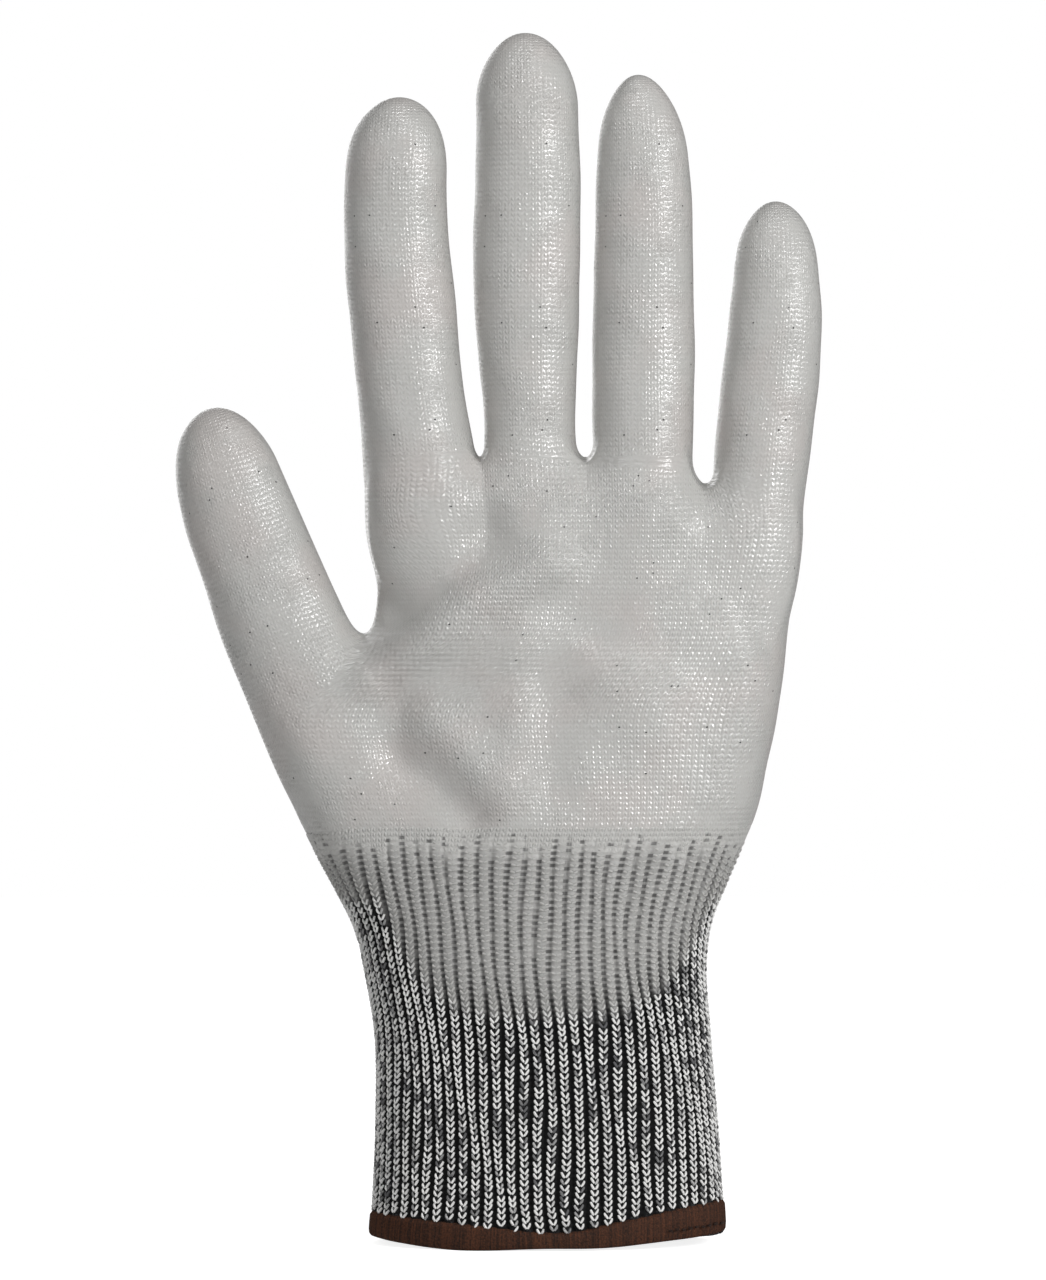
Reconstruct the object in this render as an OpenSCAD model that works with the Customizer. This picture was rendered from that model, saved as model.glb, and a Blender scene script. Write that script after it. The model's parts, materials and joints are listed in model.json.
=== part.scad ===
// Seamless knitted cut resistant glove, left hand, filled out as it is when worn.
// +Z runs from the hem to the fingertips, the palm faces -Y and the thumb points to -X.
// The origin is the centre of the wrist opening, on the bottom edge of the hem.

/* [Glove] */
// Height from the hem to the tip of the middle finger
glove_length = 250; // [242:1:258]
// Width across the roots of the four fingers
palm_width = 91; // [87:1:96]
// Depth of the palm just below the fingers
palm_depth = 28; // [26:0.5:31]
// Height of the crotches between index, middle and ring finger
crotch_height = 162.5; // [160:0.5:165]
// Height of the crotch between thumb and palm
thumb_crotch_height = 126; // [124:0.5:128]

/* [Fabric] */
// Thickness of the knitted liner
knit_thickness = 1.3; // [1:0.1:1.6]
// Thickness of the polyurethane coating on the palm side
coating_thickness = 0.5; // [0.3:0.1:0.7]
// Depth of the knitted cuff and wrist
wrist_depth = 45; // [41:1:49]

/* [Hem] */
// Height of the overlocked binding around the wrist opening
hem_height = 4.6; // [4:0.2:6]
// How far the binding stands out from the knit on each face
hem_bulge = 0.9; // [0.6:0.1:1.2]
// Number of elastic threads laid round the inside of the cuff
elastic_count = 9; // [5:1:11]

/* [Fingers] */
// Length of the index finger above its crotch
index_length = 74; // [70:1:78]
// Length of the ring finger above its crotch
ring_length = 78.5; // [74:1:82]
// Length of the little finger above its crotch
little_length = 57; // [55:1:60]
// Lean of the index finger away from the middle finger
index_lean = 5.5; // [4.5:0.5:6.5]
// Lean of the little finger away from the ring finger
little_lean = 4.5; // [3.5:0.5:5.5]

/* [Bending] */
// Bend of each finger at its root knuckle
knuckle_bend = 70; // [50:5:70]
// Bend of each finger at its middle joint
middle_bend = 90; // [60:5:90]
// Bend of each finger at its end joint
end_bend = 50; // [30:5:50]
// Swing of the thumb across the palm
thumb_swing = 50; // [30:5:50]
// Bend of the thumb at its own joint
thumb_bend = 60; // [40:5:60]
// Bend of the wrist to either side
wrist_bend = 40; // [25:5:40]

/* [Hidden] */

KNIT = "#8d8f92";
STRETCH = "#a5a7aa";
COATING = "#bfbfbc";
HEM = "#5b2f17";
ELASTIC = "#e8e6e0";

// The layers, as insets from the outer face of the coating
layer_gap = 0.1;
knit_face = coating_thickness + layer_gap;
inner_face = knit_face + knit_thickness;
// Room between two pieces that meet end to end
end_gap = 0.15;
// Half of the stretch band where it is narrowest, on the back of a joint
half_band = 1;
// Extra opening of a fold, so that its two sides stay clear when it is closed
fold_spare = 3;

// Columns round a finger and round the palm, and the coated part of the round
finger_step = 18;
palm_step = 7.5;
finger_round = [for (a = [0:finger_step:359]) a];
palm_round = [for (a = [0:palm_step:359]) a];
finger_coated = [for (a = [162:finger_step:378]) a];
palm_coated = [for (a = [165:palm_step:375]) a];

// Outline of the cuff and palm: edges and half depth at each height
wide = palm_width / 91;
wrist_height = 48;
left_edge = [[0, -35.4], [10, -34.8], [25, -34.5], [45, -34.7], [58, -37], [66, -39.2],
             [76, -43.6], [88, -50.6], [100, -56.8], [113, -62.3], [thumb_crotch_height, -67]];
right_edge = [[0, 35.6], [10, 35.2], [25, 34.6], [45, 33.8], [58, 34], [66, 35],
              [76, 38.4], [88, 43.4], [100, 46.2], [113, 48.4], [thumb_crotch_height, 50]];
half_depth = [[0, wrist_depth / 2], [45, wrist_depth / 2 - 1], [66, wrist_depth / 2 - 1.5],
              [88, wrist_depth / 2 - 2.5], [110, palm_depth / 2 + 4],
              [thumb_crotch_height, palm_depth / 2 + 2.5]];
// The same above the thumb crotch, where the palm no longer holds the thumb
web_x = -36.2 * wide;
shoulder_height = crotch_height - 7;
upper_left = [[thumb_crotch_height, web_x], [shoulder_height, -37.6 * wide]];
upper_right = [[thumb_crotch_height, 50 * wide], [shoulder_height, 53.6 * wide]];
upper_depth = [[thumb_crotch_height, palm_depth / 2 + 2.3], [shoulder_height, palm_depth / 2]];

// Each finger: centre of its root, lean, length, widths at root, middle and tip,
// heights of its three joints, then the left and right edge of its share of the palm
INDEX = [[-26.3 * wide, crotch_height], index_lean, index_length, [22.4, 21.8, 20.4],
         [10, 34, 55], [-37.6 * wide, -14.5 * wide]];
MIDDLE = [[-3.8 * wide, crotch_height], 0, glove_length - crotch_height, [19.2, 21.6, 20.4],
          [10, 38, 64], [-14.2 * wide, 7.9 * wide]];
RING = [[20.1 * wide, crotch_height], 0, ring_length, [20, 20.8, 18.6],
        [10, 35, 58], [8.2 * wide, 32.3 * wide]];
LITTLE = [[44.5 * wide, crotch_height - 4.5], -little_lean, little_length, [19.4, 19.6, 16.4],
          [7, 24, 39.5], [32.6 * wide, 53.6 * wide]];
tip_round = 11.5;
depth_ratio = 0.92;
// A finger folds about a line that lies this share of its half depth towards the palm
fold_line = 0.3;

// The thumb: at each distance from its seam with the palm, the centre, half width,
// tilt of the section and half depth
heel = [-57, 100];
web = [web_x - 0.6, thumb_crotch_height - 0.4];
seam_centre = (heel + web) / 2;
seam_tilt = atan2(web[1] - heel[1], web[0] - heel[0]);
seam_half = norm(web - heel) / 2;
seam_up = [-sin(seam_tilt), cos(seam_tilt)];
seam_along = [cos(seam_tilt), sin(seam_tilt)];
thumb_tilt = 19;
thumb_up = [-sin(thumb_tilt), cos(thumb_tilt)];
root_hinge = 8;
band_top = 16;
base_start = 24;
thumb_joint = 35;
thumb_length = 62.5;
hinge_centre = seam_centre + root_hinge * seam_up + 3.4 * seam_along;
band_centre = seam_centre + band_top * seam_up + 7 * seam_along;
base_centre = [-57.4, 135.6];
tip_centre = base_centre + (thumb_length - base_start) * thumb_up;
thumb_x = [[0, seam_centre[0]], [root_hinge, hinge_centre[0]], [band_top, band_centre[0]],
           [base_start, base_centre[0]], [thumb_length, tip_centre[0]]];
thumb_z = [[0, seam_centre[1]], [root_hinge, hinge_centre[1]], [band_top, band_centre[1]],
           [base_start, base_centre[1]], [thumb_length, tip_centre[1]]];
thumb_half = [[0, seam_half], [root_hinge, 15.4], [band_top, 14.6], [base_start, 12.7],
              [thumb_joint, 12.1], [50, 10.8], [thumb_length, 10.2]];
thumb_turn = [[0, seam_tilt], [band_top, seam_tilt], [base_start, thumb_tilt],
              [thumb_length, thumb_tilt]];
thumb_half_depth = [[0, 12.6], [band_top, 11.6], [thumb_joint, 10.4], [thumb_length, 9.6]];
// Depth of the line that the thumb folds about, and of the section at its folds
thumb_fold_y = -3;
thumb_fold_depth = 11;

// How square each section is: 2 is an ellipse, and a larger power has fuller corners
palm_power = 2.15;
upper_power = 2.6;
finger_power = 2.1;
root_power = 3.2;

// A number between two others
function between(a, b, part) = a + (b - a) * part;
// A cosine or sine pulled outwards, which squares up an ellipse
function squared(v, power) = sign(v) * pow(abs(v), 2 / power);
// How far a round tip has closed at a height
function tip_closing(s, top, round) =
    s <= top - round ? 1 : sqrt(max(0, 1 - pow((s - top + round) / round, 2)));
// How far a fold is cut back at a depth y, for a fold line at fold_y
function fold_cut(y, fold_y, bend) = half_band + max(0, fold_y - y) * tan(bend / 2 + fold_spare);

// A point on the cuff or palm, from its edges and depth
function palm_section(z, a, inset, left, right, depth, power) =
    let (l = lookup(z, left) + inset, r = lookup(z, right) - inset, d = lookup(z, depth) - inset)
    [(l + r) / 2 + (r - l) / 2 * squared(cos(a), power), d * squared(sin(a), power), z];
function hand_point(z, a, inset) =
    palm_section(z, a, inset, left_edge, right_edge, half_depth, palm_power);
function upper_point(z, a, inset) =
    palm_section(z, a, inset, upper_left, upper_right, upper_depth, upper_power);

// The wrist folds to both sides, so its band widens towards the front and the back
function wrist_cut(a) =
    half_band + abs(lookup(wrist_height, half_depth) * sin(a)) * tan(wrist_bend / 2 + fold_spare);

// A point on a finger: height above the root along the finger, angle round it, inset
function finger_width(f, s) =
    lookup(s / f[2], [[0, f[3][0]], [0.4, f[3][1]], [1, f[3][2]]]);
function finger_point(f, s, a, inset) =
    let (closing = tip_closing(s, f[2] - inset, tip_round - inset),
         half = (finger_width(f, s) / 2 - inset) * closing,
         deep = (finger_width(f, s) / 2 * depth_ratio - inset) * closing,
         across = half * squared(cos(a), finger_power))
    [f[0][0] + across * cos(f[1]) - s * sin(f[1]), deep * squared(sin(a), finger_power),
     f[0][1] + across * sin(f[1]) + s * cos(f[1])];
function finger_half_depth(f) = f[3][1] / 2 * depth_ratio;
function finger_cut(f, a, bend) =
    fold_cut(finger_half_depth(f) * sin(a), -fold_line * finger_half_depth(f), bend);

// A point on the thumb, at a distance from its seam with the palm
function thumb_point(t, a, inset) =
    let (closing = tip_closing(t, thumb_length - inset, tip_round - inset),
         half = (lookup(t, thumb_half) - inset) * closing,
         power = between(root_power, finger_power, min(1, t / band_top)),
         across = half * squared(cos(a), power),
         tilt = lookup(t, thumb_turn))
    [lookup(t, thumb_x) + across * cos(tilt),
     (lookup(t, thumb_half_depth) - inset) * closing * squared(sin(a), power),
     lookup(t, thumb_z) + across * sin(tilt)];
function thumb_cut(a, bend) = fold_cut(thumb_fold_depth * sin(a), thumb_fold_y, bend);

// The top of the lower palm: level on the right of the thumb crotch, along the thumb's seam
// on its left. The height is found by going round a few times from a first guess.
seam_gap = 0.3;
seam_guess = 110;
seam_rounds = 12;
function seam_top(x) = thumb_crotch_height - end_gap
    - (x < web[0] ? (web[0] - x) * tan(seam_tilt) + seam_gap : 0);
function lower_top(a, inset, z, rounds) =
    rounds == 0 ? z : lower_top(a, inset, (z + seam_top(hand_point(z, a, inset)[0])) / 2, rounds - 1);

// Triangles of a grid of points, closed into a ring or left open at its sides
function grid_faces(rows, cols, first, ring, flip) =
    [for (i = [0:rows - 2], j = [0:cols - (ring ? 1 : 2)])
        let (a = first + i * cols + j, b = first + i * cols + (j + 1) % cols,
             c = b + cols, d = a + cols)
        each flip ? [[a, b, c], [a, c, d]] : [[a, c, b], [a, d, c]]];
// Triangles between an outer and an inner row of points
function edge_faces(cols, outer, inner, ring, flip) =
    [for (j = [0:cols - (ring ? 1 : 2)])
        let (a = outer + j, b = outer + (j + 1) % cols, c = inner + (j + 1) % cols, d = inner + j)
        each flip ? [[a, c, b], [a, d, c]] : [[a, b, c], [a, c, d]]];
// Triangles that close one side of an open shell
function side_faces(rows, cols, outer, inner, flip) =
    [for (i = [0:rows - 2])
        let (a = outer + i * cols, b = inner + i * cols, c = b + cols, d = a + cols)
        each flip ? [[a, c, b], [a, d, c]] : [[a, b, c], [a, c, d]]];

// A layer between two grids of points: a ring, an open strip, or a ring closed at its top
module layer(outer, inner, ring = true, closed = false) {
    rows = len(outer);
    cols = len(outer[0]);
    size = rows * cols;
    last = (rows - 1) * cols;
    points = [for (row = outer) each row, for (row = inner) each row];
    skin = concat(grid_faces(rows, cols, 0, ring, false), grid_faces(rows, cols, size, ring, true));
    foot = edge_faces(cols, 0, size, ring, false);
    top = closed
        ? [[for (j = [cols - 1:-1:0]) last + j], [for (j = [0:cols - 1]) size + last + j]]
        : edge_faces(cols, last, size + last, ring, true);
    sides = ring ? [] : concat(side_faces(rows, cols, 0, size, false),
                               side_faces(rows, cols, cols - 1, size + cols - 1, true));
    polyhedron(points, concat(skin, foot, top, sides));
}

// A band of a finger between two joints, or from a joint to a point near the next
module finger_layer(f, angles, outside, inside, low, high, rows, ring) {
    function grid(inset) = [for (i = [0:rows]) [for (k = [0:len(angles) - 1])
        finger_point(f, between(low[k], high[k], i / rows), angles[k], inset)]];
    layer(grid(outside), grid(inside), ring);
}

// Heights of a finger's cut ends, one for each column
function above_joint(f, joint, bend, angles) =
    [for (a = angles) f[4][joint] + finger_cut(f, a, bend)];
function below_joint(f, joint, bend, angles) =
    [for (a = angles) f[4][joint] - finger_cut(f, a, bend)];
function raised(heights, rise) = [for (h = heights) h + rise];

module finger_stretch(f, joint, bend) {
    color(STRETCH) finger_layer(f, finger_round, knit_face, inner_face,
        raised(below_joint(f, joint, bend, finger_round), end_gap),
        raised(above_joint(f, joint, bend, finger_round), -end_gap), 2, true);
}
module finger_proximal(f, angles, outside, inside, ring) {
    finger_layer(f, angles, outside, inside, above_joint(f, 0, knuckle_bend, angles),
        below_joint(f, 1, middle_bend, angles), 3, ring);
}
module finger_middle(f, angles, outside, inside, ring) {
    finger_layer(f, angles, outside, inside, above_joint(f, 1, middle_bend, angles),
        below_joint(f, 2, end_bend, angles), 2, ring);
}
module proximal_knit(f) color(KNIT) finger_proximal(f, finger_round, knit_face, inner_face, true);
module middle_knit(f) color(KNIT) finger_middle(f, finger_round, knit_face, inner_face, true);
module proximal_coating(f)
    color(COATING) finger_proximal(f, finger_coated, 0, coating_thickness, false);
module middle_coating(f)
    color(COATING) finger_middle(f, finger_coated, 0, coating_thickness, false);

// Rows of a fingertip: straight up to the round, then round to a small flat top
function tip_rows(low, top, round) = [low, between(low, top - round, 0.5), top - round,
    for (turn = [20, 38, 54, 68, 79]) top - round + round * sin(turn)];
// The coating reaches round to the back over the last stretch of a fingertip, which starts
// a little below the round
function wraps_back(a) = sin(a) > 0.4;
back_coat = tip_round + 1.5;
function finger_tip_grid(f, inset, back_low) =
    let (low = above_joint(f, 2, end_bend, finger_round),
         columns = [for (k = [0:len(finger_round) - 1])
             tip_rows(wraps_back(finger_round[k]) ? max(low[k], back_low) : low[k],
                      f[2] - inset, tip_round - inset)])
    [for (i = [0:len(columns[0]) - 1]) [for (k = [0:len(finger_round) - 1])
        finger_point(f, columns[k][i], finger_round[k], inset)]];
module tip_knit(f)
    color(KNIT) layer(finger_tip_grid(f, knit_face, 0), finger_tip_grid(f, inner_face, 0), true, true);
module tip_coating(f)
    color(COATING) layer(finger_tip_grid(f, 0, f[2] - back_coat),
        finger_tip_grid(f, coating_thickness, f[2] - back_coat), true, true);

// The root of a finger grows out of its share of the palm and ends below the knuckle
shoulder_left = upper_left[1][1];
shoulder_right = upper_right[1][1];
function shoulder_depth(x, inset) =
    let (part = abs(2 * x - shoulder_left - shoulder_right) / (shoulder_right - shoulder_left))
    (palm_depth / 2 - inset) * pow(max(0, 1 - pow(part, upper_power)), 1 / upper_power);
function share_point(f, a, inset) =
    let (l = f[5][0] + inset, r = f[5][1] - inset, d = palm_depth / 2 - inset,
         x = (l + r) / 2 + (r - l) / 2 * squared(cos(a), root_power))
    [x, sign(sin(a)) * min(d * abs(squared(sin(a), root_power)), shoulder_depth(x, inset)),
     shoulder_height + end_gap];
module finger_root(f, angles, outside, inside, ring) {
    high = below_joint(f, 0, knuckle_bend, angles);
    function grid(inset) = [[for (a = angles) share_point(f, a, inset)],
        [for (k = [0:len(angles) - 1]) finger_point(f, min(0.5, high[k] - 1), angles[k], inset)],
        [for (k = [0:len(angles) - 1]) finger_point(f, high[k], angles[k], inset)]];
    layer(grid(outside), grid(inside), ring);
}
module root_knit(f) color(KNIT) finger_root(f, finger_round, knit_face, inner_face, true);

// The cuff, the wrist band and the palm
module hand_layer(angles, outside, inside, low, high, rows, ring) {
    function grid(inset) = [for (i = [0:rows]) [for (k = [0:len(angles) - 1])
        hand_point(between(low[k], high[k], i / rows), angles[k], inset)]];
    layer(grid(outside), grid(inside), ring);
}
cuff_foot = 1;
module cuff_rib_knit()
    color(KNIT) hand_layer(palm_round, knit_face, inner_face, [for (a = palm_round) cuff_foot],
        [for (a = palm_round) wrist_height - wrist_cut(a)], 4, true);
module wrist_stretch_knit()
    color(STRETCH) hand_layer(palm_round, knit_face, inner_face,
        [for (a = palm_round) wrist_height - wrist_cut(a) + end_gap],
        [for (a = palm_round) wrist_height + wrist_cut(a) - end_gap], 3, true);
module lower_palm(angles, outside, inside, ring) {
    hand_layer(angles, outside, inside, [for (a = angles) wrist_height + wrist_cut(a)],
        [for (a = angles) lower_top(a, outside, seam_guess, seam_rounds)], 6, ring);
}
module lower_palm_knit() color(KNIT) lower_palm(palm_round, knit_face, inner_face, true);
module upper_palm(angles, outside, inside, ring) {
    function grid(inset) = [for (i = [0:2])
        [for (a = angles) upper_point(between(thumb_crotch_height + end_gap, shoulder_height, i / 2),
                                      a, inset)]];
    layer(grid(outside), grid(inside), ring);
}
module upper_palm_knit() color(KNIT) upper_palm(palm_round, knit_face, inner_face, true);
module palm_coating() color(COATING) {
    lower_palm(palm_coated, 0, coating_thickness, false);
    upper_palm(palm_coated, 0, coating_thickness, false);
    for (f = [INDEX, MIDDLE, RING, LITTLE]) finger_root(f, finger_coated, 0, coating_thickness, false);
    thumb_root(finger_coated, 0, coating_thickness, false);
}

// Elastic threads lie round the inside of the cuff, one above the other
elastic_size = 0.6;
elastic_low = 8;
elastic_high = 34;
module cuff_elastic_threads() {
    face = inner_face + 2 * layer_gap;
    color(ELASTIC) for (i = [0:elastic_count - 1]) {
        z = between(elastic_low, elastic_high, i / (elastic_count - 1));
        translate([0, 0, z]) linear_extrude(elastic_size) difference() {
            polygon([for (a = palm_round) let (p = hand_point(z, a, face)) [p[0], p[1]]]);
            polygon([for (a = palm_round)
                let (p = hand_point(z, a, face + elastic_size)) [p[0], p[1]]]);
        }
    }
}

// The overlock binding folds over the edge of the cuff: its section goes up the outside,
// down into the channel that holds the knit, and back down the inside
hem_round = 0.8;
hem_bevel = 0.5;
channel_gap = 0.05;
module hem_overlock_binding() {
    out = knit_face - hem_bulge;
    in = inner_face + hem_bulge;
    channel_out = knit_face - channel_gap;
    channel_in = inner_face + channel_gap;
    channel_foot = cuff_foot - 2 * channel_gap;
    inner_top = hem_height - hem_bevel;
    section = [[out + hem_bevel, 0], [out, hem_round], [out, hem_height - hem_round],
               [out + hem_bevel, hem_height], [channel_out, hem_height],
               [channel_out, channel_foot], [channel_in, channel_foot],
               [channel_in, inner_top], [in - hem_bevel, inner_top],
               [in, inner_top - hem_round], [in, hem_round], [in - hem_bevel, 0]];
    cols = len(palm_round);
    count = len(section);
    points = [for (s = section) each [for (a = palm_round) let (p = hand_point(s[1], a, s[0])) p]];
    color(HEM) polyhedron(points, [for (i = [0:count - 1], j = [0:cols - 1])
        let (a = i * cols + j, b = i * cols + (j + 1) % cols,
             c = ((i + 1) % count) * cols + (j + 1) % cols, d = ((i + 1) % count) * cols + j)
        each [[a, c, b], [a, d, c]]]);
}

// The end of the overlock chain is sewn back along the hem with a few short stitches,
// which lie on the outer face of the binding at its right end
tail_count = 8;
tail_size = 0.5;
tail_stitch = 1.2;
tail_height = 1.8;
tail_angle = 313;
tail_step = 4.5;
module hem_thread_tail() {
    inset = knit_face - hem_bulge - tail_size / 2 - layer_gap;
    color(HEM) for (i = [0:tail_count - 1]) {
        a = tail_angle + tail_step * i;
        here = hand_point(tail_height, a, inset);
        next = hand_point(tail_height, a + 1, inset);
        translate(here) rotate([0, 0, atan2(next[1] - here[1], next[0] - here[0])])
            rotate([0, 90, 0]) cylinder(d = tail_size, h = tail_stitch, center = true, $fn = 16);
    }
}

// The thumb
module thumb_layer(angles, outside, inside, low, high, rows, ring) {
    function grid(inset) = [for (i = [0:rows]) [for (k = [0:len(angles) - 1])
        thumb_point(between(low[k], high[k], i / rows), angles[k], inset)]];
    layer(grid(outside), grid(inside), ring);
}
module thumb_root(angles, outside, inside, ring) {
    thumb_layer(angles, outside, inside, [for (a = angles) end_gap],
        [for (a = angles) root_hinge - thumb_cut(a, thumb_swing)], 2, ring);
}
module thumb_base(angles, outside, inside, ring) {
    thumb_layer(angles, outside, inside,
        [for (a = angles) root_hinge + thumb_cut(a, thumb_swing)],
        [for (a = angles) thumb_joint - thumb_cut(a, thumb_bend)], 4, ring);
}
module thumb_root_knit() color(KNIT) thumb_root(finger_round, knit_face, inner_face, true);
module thumb_root_stretch_knit()
    color(STRETCH) thumb_layer(finger_round, knit_face, inner_face,
        [for (a = finger_round) root_hinge - thumb_cut(a, thumb_swing) + end_gap],
        [for (a = finger_round) root_hinge + thumb_cut(a, thumb_swing) - end_gap], 2, true);
module thumb_base_knit() color(KNIT) thumb_base(finger_round, knit_face, inner_face, true);
module thumb_base_coating() color(COATING) thumb_base(finger_coated, 0, coating_thickness, false);
module thumb_joint_stretch_knit()
    color(STRETCH) thumb_layer(finger_round, knit_face, inner_face,
        [for (a = finger_round) thumb_joint - thumb_cut(a, thumb_bend) + end_gap],
        [for (a = finger_round) thumb_joint + thumb_cut(a, thumb_bend) - end_gap], 2, true);
function thumb_tip_grid(inset, back_low) =
    let (columns = [for (a = finger_round)
             let (low = thumb_joint + thumb_cut(a, thumb_bend))
             tip_rows(wraps_back(a) ? max(low, back_low) : low, thumb_length - inset,
                      tip_round - inset)])
    [for (i = [0:len(columns[0]) - 1]) [for (k = [0:len(finger_round) - 1])
        thumb_point(columns[k][i], finger_round[k], inset)]];
module thumb_tip_knit()
    color(KNIT) layer(thumb_tip_grid(knit_face, 0), thumb_tip_grid(inner_face, 0), true, true);
module thumb_tip_coating()
    color(COATING) layer(thumb_tip_grid(0, thumb_length - back_coat),
        thumb_tip_grid(coating_thickness, thumb_length - back_coat), true, true);

// The index finger
module index_root_knit() root_knit(INDEX);
module index_knuckle_stretch_knit() finger_stretch(INDEX, 0, knuckle_bend);
module index_proximal_knit() proximal_knit(INDEX);
module index_proximal_coating() proximal_coating(INDEX);
module index_joint_stretch_knit() finger_stretch(INDEX, 1, middle_bend);
module index_middle_knit() middle_knit(INDEX);
module index_middle_coating() middle_coating(INDEX);
module index_end_stretch_knit() finger_stretch(INDEX, 2, end_bend);
module index_tip_knit() tip_knit(INDEX);
module index_tip_coating() tip_coating(INDEX);

// The middle finger
module middle_root_knit() root_knit(MIDDLE);
module middle_knuckle_stretch_knit() finger_stretch(MIDDLE, 0, knuckle_bend);
module middle_proximal_knit() proximal_knit(MIDDLE);
module middle_proximal_coating() proximal_coating(MIDDLE);
module middle_joint_stretch_knit() finger_stretch(MIDDLE, 1, middle_bend);
module middle_middle_knit() middle_knit(MIDDLE);
module middle_middle_coating() middle_coating(MIDDLE);
module middle_end_stretch_knit() finger_stretch(MIDDLE, 2, end_bend);
module middle_tip_knit() tip_knit(MIDDLE);
module middle_tip_coating() tip_coating(MIDDLE);

// The ring finger
module ring_root_knit() root_knit(RING);
module ring_knuckle_stretch_knit() finger_stretch(RING, 0, knuckle_bend);
module ring_proximal_knit() proximal_knit(RING);
module ring_proximal_coating() proximal_coating(RING);
module ring_joint_stretch_knit() finger_stretch(RING, 1, middle_bend);
module ring_middle_knit() middle_knit(RING);
module ring_middle_coating() middle_coating(RING);
module ring_end_stretch_knit() finger_stretch(RING, 2, end_bend);
module ring_tip_knit() tip_knit(RING);
module ring_tip_coating() tip_coating(RING);

// The little finger
module little_root_knit() root_knit(LITTLE);
module little_knuckle_stretch_knit() finger_stretch(LITTLE, 0, knuckle_bend);
module little_proximal_knit() proximal_knit(LITTLE);
module little_proximal_coating() proximal_coating(LITTLE);
module little_joint_stretch_knit() finger_stretch(LITTLE, 1, middle_bend);
module little_middle_knit() middle_knit(LITTLE);
module little_middle_coating() middle_coating(LITTLE);
module little_end_stretch_knit() finger_stretch(LITTLE, 2, end_bend);
module little_tip_knit() tip_knit(LITTLE);
module little_tip_coating() tip_coating(LITTLE);

cuff_rib_knit();
cuff_elastic_threads();
hem_overlock_binding();
hem_thread_tail();
wrist_stretch_knit();
lower_palm_knit();
upper_palm_knit();
palm_coating();
thumb_root_knit();
thumb_root_stretch_knit();
thumb_base_knit();
thumb_base_coating();
thumb_joint_stretch_knit();
thumb_tip_knit();
thumb_tip_coating();
index_root_knit();
index_knuckle_stretch_knit();
index_proximal_knit();
index_proximal_coating();
index_joint_stretch_knit();
index_middle_knit();
index_middle_coating();
index_end_stretch_knit();
index_tip_knit();
index_tip_coating();
middle_root_knit();
middle_knuckle_stretch_knit();
middle_proximal_knit();
middle_proximal_coating();
middle_joint_stretch_knit();
middle_middle_knit();
middle_middle_coating();
middle_end_stretch_knit();
middle_tip_knit();
middle_tip_coating();
ring_root_knit();
ring_knuckle_stretch_knit();
ring_proximal_knit();
ring_proximal_coating();
ring_joint_stretch_knit();
ring_middle_knit();
ring_middle_coating();
ring_end_stretch_knit();
ring_tip_knit();
ring_tip_coating();
little_root_knit();
little_knuckle_stretch_knit();
little_proximal_knit();
little_proximal_coating();
little_joint_stretch_knit();
little_middle_knit();
little_middle_coating();
little_end_stretch_knit();
little_tip_knit();
little_tip_coating();
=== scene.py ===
"""The looks of a knitted cut resistant glove with a coated palm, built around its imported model.

Lengths are millimetres, and make_piece turns them into metres. Floor, lamps and camera are in
metres. The glove's skin is one smooth form, joined from the hand, the thumb and four fingers. It
is cut into pieces where the bodies meet, and each piece is either coated film or bare knit. The
cuff's ribs are a grid of points, and its stitches and the end of the hem's thread are tubes.
"""
import json
import math
import bpy
import numpy as np
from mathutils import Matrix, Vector


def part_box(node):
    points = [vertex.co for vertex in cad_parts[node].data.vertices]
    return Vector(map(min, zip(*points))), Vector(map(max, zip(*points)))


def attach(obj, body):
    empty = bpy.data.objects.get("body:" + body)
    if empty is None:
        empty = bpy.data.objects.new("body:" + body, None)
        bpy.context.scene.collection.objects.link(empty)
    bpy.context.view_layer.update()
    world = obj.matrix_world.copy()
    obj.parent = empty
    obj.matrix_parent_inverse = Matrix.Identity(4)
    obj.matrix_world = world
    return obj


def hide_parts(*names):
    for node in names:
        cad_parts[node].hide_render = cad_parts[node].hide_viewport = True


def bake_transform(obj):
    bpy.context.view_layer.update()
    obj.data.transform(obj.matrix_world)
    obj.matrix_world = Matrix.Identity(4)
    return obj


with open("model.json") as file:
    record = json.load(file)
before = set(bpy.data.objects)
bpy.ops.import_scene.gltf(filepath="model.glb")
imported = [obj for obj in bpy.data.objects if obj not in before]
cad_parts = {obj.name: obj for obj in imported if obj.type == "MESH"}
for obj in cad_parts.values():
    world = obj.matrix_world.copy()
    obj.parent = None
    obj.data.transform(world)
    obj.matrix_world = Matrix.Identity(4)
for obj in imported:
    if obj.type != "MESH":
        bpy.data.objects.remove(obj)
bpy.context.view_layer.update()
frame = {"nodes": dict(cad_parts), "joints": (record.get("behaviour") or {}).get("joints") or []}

MM = 0.001
RANDOM_SEED = 7
rng = np.random.default_rng(RANDOM_SEED)


# ------------ small helpers

def smooth_curve(*points):
    """A smooth function through a few (place, value) points, level beyond both ends."""
    place = np.array([p[0] for p in points], float)
    value = np.array([p[1] for p in points], float)
    slope = np.gradient(value, place)

    def at(s):
        s = np.clip(s, place[0], place[-1])
        i = np.clip(np.searchsorted(place, s, side="right") - 1, 0, len(place) - 2)
        gap = place[i + 1] - place[i]
        k = (s - place[i]) / gap
        return (value[i] * (1 + 2 * k) * (1 - k) ** 2 + slope[i] * gap * k * (1 - k) ** 2
                + value[i + 1] * k * k * (3 - 2 * k) + slope[i + 1] * gap * k * k * (k - 1))
    return at


def smoothstep(low, high, s):
    """0 at low and 1 at high, with an easy start and end."""
    k = np.clip((s - low) / (high - low), 0, 1)
    return k * k * (3 - 2 * k)


def smooth_min(a, b, width):
    """The lower of two fields, rounded off where they are within width of each other."""
    near = np.maximum(width - np.abs(a - b), 0) / width
    return np.minimum(a, b) - near * near * width / 4


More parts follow.
